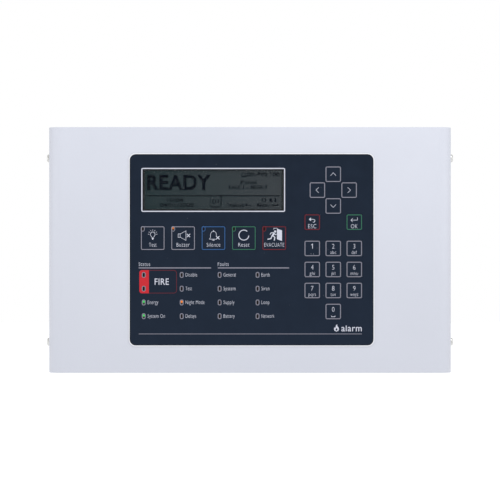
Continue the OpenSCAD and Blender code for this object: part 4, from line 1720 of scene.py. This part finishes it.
@dataclass
class DotDisplay:
    """The graphic display: panel, ground and the dots that are switched on.

    Attributes:
        columns: Dots across.
        rows: Dots up.
        pitch: Distance between dots.
        gap: Gap between dots.
        view: Width and height of the part that isn't masked.
        ease: Radius of the panel's edges.
        sunk: How far the ground lies behind the panel's face.
        over: How far the dots stand off the ground.
        thick: Thickness of a dot.
        lines: Words, capital height, left, top, width and weight, in dots from the top left.
    """

    columns: int = 240
    rows: int = 64
    pitch: float = 0.53
    gap: float = 0.02
    view: tuple[float, float] = (130.6, 36.9)
    ease: float = 0.4
    sunk: float = 0.12
    over: float = 0.02
    thick: float = 0.02
    lines: tuple = (
        ("READY", 26, 1, 6, 115, 0.035), ("00", 7, 181, 1, 12, 0.03), ("02", 7, 206, 1, 12, 0.03),
        ("00", 7, 227, 1, 12, 0.03), ("Panel", 7, 169, 15, 29, 0.02),
        ("FAULT - NIGHT", 7, 148, 24, 70, 0.03), ("10:04", 7, 37, 47, 29, 0.03),
        ("04/01/2000", 7, 24, 56, 61, 0.03), ("01", 8, 118, 49, 12, 0.03), ("Status", 7, 144, 56, 31, 0.02),
        ("Menu", 7, 199, 56, 23, 0.02), ("1", 7, 230, 47, 3, 0.012))

    def _shapes(self) -> list[list[Outline]]:
        """The pictures and the rule on the display, in dots, from the bottom left.

        Returns:
            Their outlines, shape by shape.
        """
        top = self.rows
        rule = [(0, top - 43.9), (self.columns, top - 43.9), (self.columns, top - 42.1), (0, top - 42.1)]
        tab = stroke([(114.5, top - 41), (114.5, top - 58)] + arc(4.5, 180, 270, (119, top - 58.5), 5)
                     + arc(4.5, 270, 360, (129.5, top - 58.5), 5) + [(134, top - 58), (134, top - 41)], 1.3)
        bell = stroke([(170, top - 8), (171.5, top - 6), (171.5, top - 4), (173, top - 2), (175, top - 1),
                       (177, top - 2), (178.5, top - 4), (178.5, top - 6), (180, top - 8), (170, top - 8)],
                       1.3)
        spanner = stroke([(195, top - 8), (199, top - 4), (203, top - 1.5)], 1.8)
        jaw = arc(2.6, 0, 330, (202, top - 2.6), 8)
        mark, point = rounded(2.2, 4.6, 1, (223, top - 3.2)), rounded(1.6, 1.6, 0.7, (223, top - 7.5))
        back = [(177, top - 59.5), (181, top - 56), (181, top - 63)]
        back_tail = stroke([(181, top - 59.5), (185, top - 59.5), (187, top - 61), (186, top - 63)], 1.5)
        enter = [(224.5, top - 60), (228.5, top - 56.5), (228.5, top - 63.5)]
        enter_tail = stroke([(228, top - 60), (236, top - 60), (236, top - 56)], 1.5)
        case = frame_lines(6, 6, 0.8, 1.3, (211, top - 50.5))
        handle = rounded(3, 1.6, 0.5, (211, top - 47))
        small_bell = [(219.5, top - 54), (221, top - 52), (221, top - 50), (223.5, top - 47),
                      (226, top - 50), (226, top - 52), (227.5, top - 54)]
        single = (rule, tab, bell, spanner, jaw, mark, point, back, back_tail, enter, enter_tail, handle,
                  small_bell)
        return [[shape] for shape in single] + [case]

    def _lit(self) -> set[tuple[int, int]]:
        """The dots that the words and pictures cover, by column and row from the bottom left.

        Returns:
            Column and row of each dot.
        """
        trees = []
        for words, cap, left, top, width, bold in self.lines:
            obj = lettering(words, bold, 0.0)
            low = min(v.co.x for v in obj.data.vertices)
            wide = width / (max(v.co.x for v in obj.data.vertices) - low)
            obj.data.transform(Matrix.Translation((left - low * wide, self.rows - top - cap, 0))
                               @ Matrix.Diagonal((wide, cap / Artwork.cap, 1, 1)))
            trees.append(self._tree(obj))
        trees += [self._tree(flat("mark", shape, 1.0)) for shape in self._shapes()]
        ray = Vector((0, 0, -1))
        return {(column, row) for column in range(self.columns) for row in range(self.rows)
                if any(tree.ray_cast(Vector((column + 0.5, row + 0.5, 1)), ray)[0] for tree in trees)}

    @staticmethod
    def _tree(obj: Object) -> BVHTree:
        """A search tree of a flat mesh, which isn't kept.

        Args:
            obj: The mesh.

        Returns:
            The tree.
        """
        tree = BVHTree.FromPolygons([v.co.copy() for v in obj.data.vertices],
                                    [tuple(p.vertices) for p in obj.data.polygons])
        bpy.data.objects.remove(obj)
        return tree

    def build(self) -> None:
        """Builds the panel and lays the dots on its ground."""
        low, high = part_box("lcd_panel")
        window_low, window_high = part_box("lcd_window")
        middle = (window_low + window_high) / 2
        wide, tall = (side * MM for side in self.view)
        panel = Bench.block("display_panel", low, high, self.ease)
        Bench.edit(panel)
        Bench.pick(panel, Part.FACE, lambda f: f.normal.y < -0.99)
        bpy.ops.mesh.inset(thickness=(high.z - low.z) / 2 - tall / 2 - self.ease * MM)
        bpy.ops.transform.resize(value=(wide / ((high.x - low.x) - (high.z - low.z) + tall), 1, 1),
                                 center_override=(middle.x, low.y, middle.z))
        bpy.ops.mesh.extrude_region_move(TRANSFORM_OT_translate={"value": (0, self.sunk * MM, 0)})
        Bench.leave()
        DISPLAY_RIM.dress(panel)
        ground = DisplayGround("display_ground", "display_dark", (0.007, 0.031, 0.036), rough=0.45,
                               patchy=0.05, patch=30, depth=0.002, gloss=0.12, middle=tuple(middle),
                               half=(self.view[0] / 2, 0, self.view[1] / 2))
        panel.data.materials.append(ground.material())
        spot = Vector((middle.x, low.y, middle.z))
        min(panel.data.polygons, key=lambda face: (face.center - spot).length).material_index = 1
        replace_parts(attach(panel, "cover"), "lcd_panel")
        self._dots(middle, low.y + (self.sunk - self.over) * MM)

    def _dots(self, middle: Vector, front: float) -> None:
        """Cuts the lit dots from a grid.

        Args:
            middle: The display's middle.
            front: Where the dots begin along Y.
        """
        lit = self._lit()
        Bench.clear()
        bpy.ops.mesh.primitive_grid_add(x_subdivisions=self.columns, y_subdivisions=self.rows, size=1)
        dots = bpy.context.object
        dots.name = dots.data.name = "display_dots"
        pitch = self.pitch * MM
        wide, tall = self.columns * pitch, self.rows * pitch
        upright = Matrix.Translation((middle.x, front, middle.z)) @ Matrix.Rotation(math.pi / 2, 4, "X")
        dots.data.transform(upright @ Matrix.Diagonal((wide, tall, 1, 1)))
        Bench.edit(dots)

        def off(face: bmesh.types.BMFace) -> bool:
            """True for a dot that isn't lit."""
            spot = face.calc_center_median() - middle
            return (int((spot.x + wide / 2) / pitch), int((spot.z + tall / 2) / pitch)) not in lit

        Bench.pick(dots, Part.FACE, off)
        bpy.ops.mesh.delete(type="FACE")
        bpy.ops.mesh.select_all(action="SELECT")
        bpy.ops.mesh.inset(thickness=self.gap / 2 * MM, use_individual=True)
        bpy.ops.mesh.select_all(action="INVERT")
        bpy.ops.mesh.delete(type="FACE")
        Bench.leave()
        Bench.modify(dots, "SOLIDIFY", thickness=self.thick * MM, offset=1.0)
        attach(DOT.dress(dots), "cover")
        log.info("display: %d dots lit", len(lit))


# ---- Inside ----


def sheath(name: str, colour: Colour) -> Finish:
    """The plastic round a lead's core, of the given linear colour."""
    return Finish("sheath_" + name, "lead_sheath", colour, rough=0.42, patchy=0.06, patch=200, depth=0.01)


@dataclass
class Wires:
    """The leads, one piece for each, in the colours of their cores.

    Attributes:
        colours: The sheaths by colour.
        leads: Name, sheath, and left and right end of each lead.
    """

    colours: dict[str, Finish] = field(default_factory=lambda: {
        "red": sheath("red", (0.42, 0.012, 0.012)),
        "black": sheath("black", (0.016, 0.016, 0.017)),
        "brown": sheath("brown", (0.12, 0.045, 0.018)),
        "blue": sheath("blue", (0.018, 0.07, 0.36)),
        "earth": Striped("sheath_earth", "lead_sheath", (0.03, 0.25, 0.04), rough=0.42, patchy=0.05,
                         depth=0.01)})
    leads: tuple[tuple[str, str, float, float], ...] = (
        ("lead_battery_minus", "black", -144, 121), ("lead_battery_link", "black", -17, 17),
        ("lead_battery_plus", "red", 123, 144), ("lead_mains_neutral", "blue", -176, -131),
        ("lead_mains_live", "brown", -171, -145), ("lead_supply_plus", "red", -107, -59),
        ("lead_supply_minus", "black", -93, -59), ("lead_mains_earth", "earth", -181, -171))

    def _split(self, node: str) -> list[Object]:
        """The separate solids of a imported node, as pieces.

        Args:
            node: The node.

        Returns:
            The pieces.
        """
        whole = Bench.cad_copy(node, node + "_part")
        Bench.edit(whole)
        bpy.ops.mesh.select_all(action="SELECT")
        bpy.ops.mesh.separate(type="LOOSE")
        Bench.leave()
        return [o for o in bpy.context.selected_objects if o.type == "MESH"]

    def _pick(self, piece: Object) -> tuple[str, Finish]:
        """The name and finish of the lead that lies where a piece does.

        Args:
            piece: The piece.

        Returns:
            Its name and finish.
        """
        across = [v.co.x / MM for v in piece.data.vertices]
        left, right = min(across), max(across)
        name, colour = min(self.leads, key=lambda lead: abs(lead[2] - left) + abs(lead[3] - right))[:2]
        return name, self.colours[colour]

    def build(self) -> None:
        """Builds every lead."""
        for node in ("battery_leads", "power_leads"):
            for piece in self._split(node):
                name, finish = self._pick(piece)
                piece.name = piece.data.name = name
                Bench.modify(piece, "SUBSURF", levels=1, render_levels=1)
                Bench.smooth(finish.dress(piece), 50)
                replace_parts(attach(piece, "base"), node)
                log.info("lead: %s", name)


@dataclass
class Electronics:
    """Small parts and prints on the boards, the batteries' labels, and the power supply's vents drawn as painted
    shade.

    Attributes:
        seed: Start of the random draws.
        grid: Distance between places for small parts, across and up.
        blocks_at: Where the field terminal blocks stand.
        relays_at: Where the relays stand.
        print_line: Corner and line of the frames printed on the board.
        screws_at: First of the supply's terminal screws, from its middle and its foot, and their distance.
        shelf: How far the supply's terminals lie behind its face.
        cap_length: Length of the fuse's metal caps.
        main_areas: Left, low, right and high side of the areas with small parts on the main board.
        display_areas: The same for the display board.
    """

    seed: int = 7
    grid: tuple[float, float] = (4.0, 3.2)
    blocks_at: tuple[float, ...] = (-50, -28, -6, 16, 60, 82, 104, 126)
    relays_at: tuple[float, ...] = (62, 86, 110, 134)
    print_line: tuple[float, float] = (0.3, 0.25)
    screws_at: tuple[float, float, float] = (-28, 15, 14)
    shelf: float = 15
    cap_length: float = 5.0
    main_areas: tuple = ((54, 0, 60, 15), (36, 28, 56, 78), (-67, -2, -62, 78), (98, 24, 114, 42),
                         (-52, 14, 26, 22))
    display_areas: tuple = ((-104, -72, -50, -12), (-28, -72, 38, -12), (50, -72, 106, -12),
                            (-36, -4, 36, 14), (52, -2, 104, 44))

    def build(self) -> None:
        """Builds every small piece inside."""
        self._small_parts("board_small_parts", "base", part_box("relays")[1].y, -1, 0.34, self.main_areas)
        self._small_parts("display_small_parts", "cover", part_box("display_board")[1].y, 1, 0.16,
                          self.display_areas)
        self._board_print()
        for node in ("battery_left", "battery_right"):
            self._battery(node)
        self._supply_print()
        self._supply_screws()
        self._mains_print()
        self._fuse_caps()
        self._relay_print()

    def _small_parts(self, name: str, body: str, plane: float, side: int, share: float,
                     areas: tuple) -> None:
        """Strews chip resistors and capacitors over areas of a board.

        Args:
            name: The piece's name.
            body: The body that it rides on.
            plane: The board's face, in metres along Y.
            side: 1 when the face looks at the wall, -1 when it looks away.
            share: Share of the places that are taken.
            areas: Corners of each area: left, low, right, high.
        """
        draw = random.Random(self.seed)
        made = []
        for finish, left, right, deep, tall in ((BLACK, -1.0, 1.0, 0.55, 0.60),
                                                (ZINC, -1.23, -0.67, 0.60, 0.64),
                                                (ZINC, 0.67, 1.23, 0.60, 0.64)):
            low = Vector((left, min(0, side * deep), -tall)) * MM
            high = Vector((right, max(0, side * deep), tall)) * MM
            made.append(finish.dress(Bench.block("chip_part", low, high, 0.08, 1)))
        chip = Bench.join(made, "chip")
        copies = []
        across, up = self.grid
        for left, low, right, high in areas:
            for column in range(int((right - left) // across)):
                for row in range(int((high - low) // up)):
                    if draw.random() < share:
                        spot = Vector((left + across * (column + 0.5), 0, low + up * (row + 0.5))) * MM
                        copies.append(Bench.copy(chip, "chip_copy", spot + Vector((0, plane, 0))))
        bpy.data.objects.remove(chip)
        parts = Bench.join(copies, name)
        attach(parts, body)
        log.info("%s: %d", name, len(copies))

    def _board_print(self) -> None:
        """White printed lines round the blocks and sockets of the main board."""
        art = Artwork("board_print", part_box("main_board")[0].y, (0, 0), thick=0.04)
        for x in self.blocks_at:
            art.fill(LABEL, *frame_lines(21.0, 13.2, *self.print_line, (x, 89)))
            for way in range(4):
                art.write(LABEL, str(way + 1), 1.8, 79.4, middle=x - 7.5 + 5 * way)
        for x in self.relays_at:
            art.fill(LABEL, *frame_lines(20.6, 17, *self.print_line, (x, 67)))
        art.fill(LABEL, *frame_lines(32, 11, *self.print_line, (82, 20)))
        art.write(LABEL, "+", 3, 4.6, middle=116)
        art.write(LABEL, "-", 3, 4.6, middle=128)
        art.finish("base")

    def _battery(self, node: str) -> None:
        """A printed label on a battery's front and the lid sunk in its top.

        Args:
            node: The battery's node.
        """
        low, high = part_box(node)
        middle = ((low.x + high.x) / 2, (low.z + high.z) / 2 - 3 * MM)
        art = Artwork("label_" + node, low.y, middle, thick=0.08)
        art.fill(LABEL, rounded(118, 15, 1.5, (0, 30)))
        art.fill(LABEL, rounded(118, 22, 1.5, (0, -34)))
        art.thick = 0.11
        art.fill(BLUE, rounded(116, 4, 1, (0, 24.6)))
        art.write(BLACK_INK, "12 V  7 Ah", 6, 28.2, left=-52, bold=0.02)
        art.write(BLACK_INK, "RECHARGEABLE BATTERY", 3, 29, left=4)
        for i in range(4):
            art.fill(BLACK_INK, stroke([(-50, -27 - 4 * i), (50 - 12 * (i % 2), -27 - 4 * i)], 0.7))
        art.finish("base")
        top = Bench.block("lid_" + node, Vector((low.x + 4 * MM, low.y + 22 * MM, high.z - 6.4 * MM)),
                          Vector((high.x - 4 * MM, high.y - 6 * MM, high.z - 5.2 * MM)), 0.4)
        Bench.edit(top)
        Bench.pick(top, Part.FACE, lambda f: f.normal.z > 0.99)
        bpy.ops.mesh.inset(thickness=2 * MM)
        bpy.ops.mesh.extrude_region_move(TRANSFORM_OT_translate={"value": (0, 0, -0.5 * MM)})
        Bench.leave()
        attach(Bench.smooth(BATTERY.dress(top)), "base")

    @staticmethod
    def _supply_print() -> None:
        """Vent slots as black patches, which paint the shade inside them, and a label on the power supply."""
        low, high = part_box("power_supply")
        art = Artwork("supply_vent_shade_and_label", low.y, ((low.x + high.x) / 2, (low.z + high.z) / 2), thick=0.06)
        # Painted shade: black patches where the vent slots show the dark inside of the supply.
        for column in range(12):
            for row in range(2):
                art.fill(BLACK_INK, rounded(2.2, 9, 1.1, (-33 + 6 * column, 26 - 14 * row)))
        art.fill(LABEL, rounded(58, 26, 1, (0, -13)))
        art.thick = 0.09
        art.write(BLACK_INK, "OUTPUT  24 V", 4, -6, left=-26, bold=0.02)
        for i in range(4):
            art.fill(BLACK_INK, stroke([(-26, -10.5 - 3.6 * i), (26 - 8 * (i % 2), -10.5 - 3.6 * i)], 0.5))
        art.finish("base")

    def _supply_screws(self) -> None:
        """The heads of the supply's terminal screws."""
        low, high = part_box("power_supply")
        foot = Vector(((low.x + high.x) / 2, low.y, low.z))
        first, up, apart = self.screws_at
        ends = []
        for i in range(5):
            place = foot + Vector((first + apart * i, self.shelf + 2, up)) * MM
            Bench.clear()
            bpy.ops.mesh.primitive_cylinder_add(vertices=24, radius=2.7 * MM, depth=1.6 * MM,
                                                location=place, rotation=(math.pi / 2, 0, 0))
            screw = Bench.settle(bpy.context.object)
            Bench.edit(screw)
            Bench.pick(screw, Part.FACE, lambda f: f.normal.y < -0.9)
            bpy.ops.mesh.inset(thickness=0.5 * MM)
            bpy.ops.mesh.extrude_region_move(TRANSFORM_OT_translate={"value": (0, 0.3 * MM, 0)})
            Bench.leave()
            ends.append(ZINC.dress(screw))
        screws = Bench.join(ends, "supply_screws")
        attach(Bench.smooth(screws), "base")

    @staticmethod
    def _mains_print() -> None:
        """Letters and the earth sign on the mains terminal."""
        low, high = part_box("mains_terminal")
        art = Artwork("mains_print", low.y, ((low.x + high.x) / 2, low.z), thick=0.05)
        for letter, x in (("L", 5), ("N", 0)):
            art.write(BLACK_INK, letter, 2.6, 12.5, middle=x)
        art.fill(BLACK_INK, stroke([(-5, 15.2), (-5, 13.9)], 0.4))
        for i, width in enumerate((2.6, 1.7, 0.8)):
            up = 13.8 - 0.6 * i
            art.fill(BLACK_INK, stroke([(-5 - width / 2, up), (-5 + width / 2, up)], 0.35))
        art.finish("base")

    def _fuse_caps(self) -> None:
        """The metal caps at the fuse's ends."""
        low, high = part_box("fuse")
        middle = (low + high) / 2
        inward = (self.cap_length / 2 - 0.05) * MM
        caps = []
        for up in (low.z + inward, high.z - inward):
            Bench.clear()
            bpy.ops.mesh.primitive_cylinder_add(vertices=32, radius=(high.x - low.x) / 2 + 0.08 * MM,
                                                depth=self.cap_length * MM,
                                                location=(middle.x, middle.y, up))
            cap = Bench.settle(bpy.context.object)
            Bench.edit(cap, Part.EDGE)
            Bench.pick(cap, Part.EDGE, lambda e: len(e.link_faces) == 2 and e.calc_face_angle(0) > 1)
            bpy.ops.mesh.bevel(offset=0.3 * MM, segments=2, affect="EDGES")
            Bench.leave()
            caps.append(ZINC.dress(cap))
        ends = Bench.join(caps, "fuse_caps")
        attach(Bench.smooth(ends), "base")

    def _relay_print(self) -> None:
        """Printed marks on the relays."""
        art = Artwork("relay_print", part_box("relays")[0].y, (0, 0), thick=0.04)
        for x in self.relays_at:
            art.write(LABEL, "24 V", 2.6, 70, middle=x)
            art.fill(LABEL, stroke([(x - 6, 62), (x + 6, 62)], 0.4))
        art.finish("base")


@dataclass
class CadFinishes:
    """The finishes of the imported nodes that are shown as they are.

    Attributes:
        by_node: Each node's finish.
        accents: A second finish for some of a node's faces, and the test that picks them.
    """

    by_node: dict[str, Finish] = field(default_factory=lambda: {
        "cover_screws": ZINC, "clinch_nuts": ZINC, "main_board": BOARD, "board_pillars": BRASS,
        "board_screws": ZINC, "terminal_blocks": TERMINAL, "terminal_screws": ZINC, "relays": RELAY,
        "capacitors": SLEEVE, "board_chips": BLACK, "loop_card": BOARD, "ribbon_cable": RIBBON,
        "ribbon_plugs": BLACK, "power_supply": SUPPLY, "mains_terminal": IVORY, "fuse": FUSE,
        "battery_left": BATTERY, "battery_right": BATTERY, "battery_bracket": GALVANISED,
        "earth_stud": BRASS, "lcd_window": PANE, "lcd_bezel": BEZEL, "lcd_board": BOARD,
        "display_board": BOARD, "key_switches": BLACK, "indicator_lamps": RESIN, "lamp_spacers": BLACK,
        "cover_pillars": BRASS, "cover_board_screws": ZINC, "sounder": BLACK, "display_header": BLACK,
        "lcd_link": RIBBON})
    accents: dict[str, tuple[Finish, Callable]] = field(default_factory=lambda: {
        "loop_card": (BLACK, lambda f, low, high: f.center.y < low.y + 1.9 * MM),
        "capacitors": (ZINC, lambda f, low, high: f.normal.y < -0.9 and f.center.y < low.y + 1.5 * MM),
        "sounder": (BEZEL, lambda f, low, high: f.normal.y > 0.9 and f.center.y > high.y - 0.1 * MM)})

    def build(self) -> None:
        """Dresses every node, and picks out the faces of a second finish."""
        for node, finish in self.by_node.items():
            finish.dress(frame["nodes"][node])
        for node, (finish, wanted) in self.accents.items():
            mesh = frame["nodes"][node].data
            low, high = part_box(node)
            mesh.materials.append(finish.material())
            for face in mesh.polygons:
                face.material_index = int(wanted(face, low, high))
        log.info("packed nodes dressed: %d", len(self.by_node))


# ---- Studio ----


@dataclass
class Studio:
    """Pale floor, soft light and the camera.

    Attributes:
        distance: From the camera to the panel's face, in metres.
        lens: Focal length.
        sensor: Width of the sensor.
        floor: Height of the floor, in metres.
        floor_size: Its side.
        floor_light: How strongly it glows.
        lamp_size: Side of a lamp.
        lamps: Name, place and power of each lamp.
    """

    distance: float = 3.0
    lens: float = 227.0
    sensor: float = 36.0
    floor: float = -0.42
    floor_size: float = 30.0
    floor_light: float = 0.22
    lamp_size: float = 0.5
    lamps: tuple[tuple[str, Colour, float], ...] = (
        ("lamp_above", (0.13, -0.59, 0.69), 3.7), ("lamp_left", (-0.75, -0.30, 0.12), 0.8),
        ("lamp_right", (0.85, -0.30, 0.12), 0.8))

    def build(self) -> None:
        """Builds the whole studio."""
        self._camera()
        self._world()
        self._floor()
        for name, place, power in self.lamps:
            self._lamp(name, place, power)
        log.info("studio ready")

    def _camera(self) -> None:
        """The camera, level and square to the panel."""
        data = bpy.data.cameras.new("camera")
        data.lens, data.sensor_width, data.clip_end = self.lens, self.sensor, 50
        camera = bpy.data.objects.new("camera", data)
        camera.location = (0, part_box("front_cover")[0].y - self.distance, 0)
        camera.rotation_euler = (math.pi / 2, 0, 0)
        bpy.context.collection.objects.link(camera)
        bpy.context.scene.camera = camera

    @staticmethod
    def _world() -> None:
        """Even white light from all round."""
        world = bpy.data.worlds.new("world")
        world.use_nodes = True
        ground = world.node_tree.nodes["Background"]
        ground.inputs["Color"].default_value = (1, 1, 1, 1)
        ground.inputs["Strength"].default_value = 1.0
        bpy.context.scene.world = world
        bpy.context.scene.view_settings.view_transform = "Standard"

    def _floor(self) -> None:
        """A wide pale floor."""
        Bench.clear()
        bpy.ops.mesh.primitive_plane_add(size=self.floor_size, location=(0, 0, self.floor))
        floor = Bench.settle(bpy.context.object)
        floor.name = "floor"
        wiring = Wiring("floor")
        surface = wiring.surface.inputs
        pale = wiring.blend(wiring.noise(3, 2), (0.90, 0.90, 0.905), (0.93, 0.93, 0.93))
        wiring.set(surface["Base Color"], pale)
        surface["Roughness"].default_value = 0.9
        surface["Emission Color"].default_value = (1, 1, 1, 1)
        surface["Emission Strength"].default_value = self.floor_light
        floor.data.materials.append(wiring.material)

    def _lamp(self, name: str, place: Colour, power: float) -> None:
        """A soft square light turned to the panel.

        Args:
            name: Its name.
            place: Where it stands, in metres.
            power: Its power.
        """
        data = bpy.data.lights.new(name, "AREA")
        data.size, data.energy = self.lamp_size, power
        lamp = bpy.data.objects.new(name, data)
        lamp.location = place
        lamp.rotation_euler = (-Vector(place)).to_track_quat("-Z", "Y").to_euler()
        bpy.context.collection.objects.link(lamp)


def main() -> None:
    """Builds the studio and every sub-assembly, in order."""
    logging.basicConfig(level=logging.INFO, format="%(name)s %(message)s")
    Studio().build()
    CadFinishes().build()
    Shell("front_cover", "cover_shell", "cover").build()
    Shell("back_box", "box_shell", "base", keep=lambda c: c.z > 0 and -0.045 < c.y < -0.015).build()
    keypad, lights = Keypad(), LightWindows()
    keypad.build()
    lights.build(keypad)
    Overlay().build(lights)
    DotDisplay().build()
    Wires().build()
    Electronics().build()


if __name__ == "__main__":
    main()
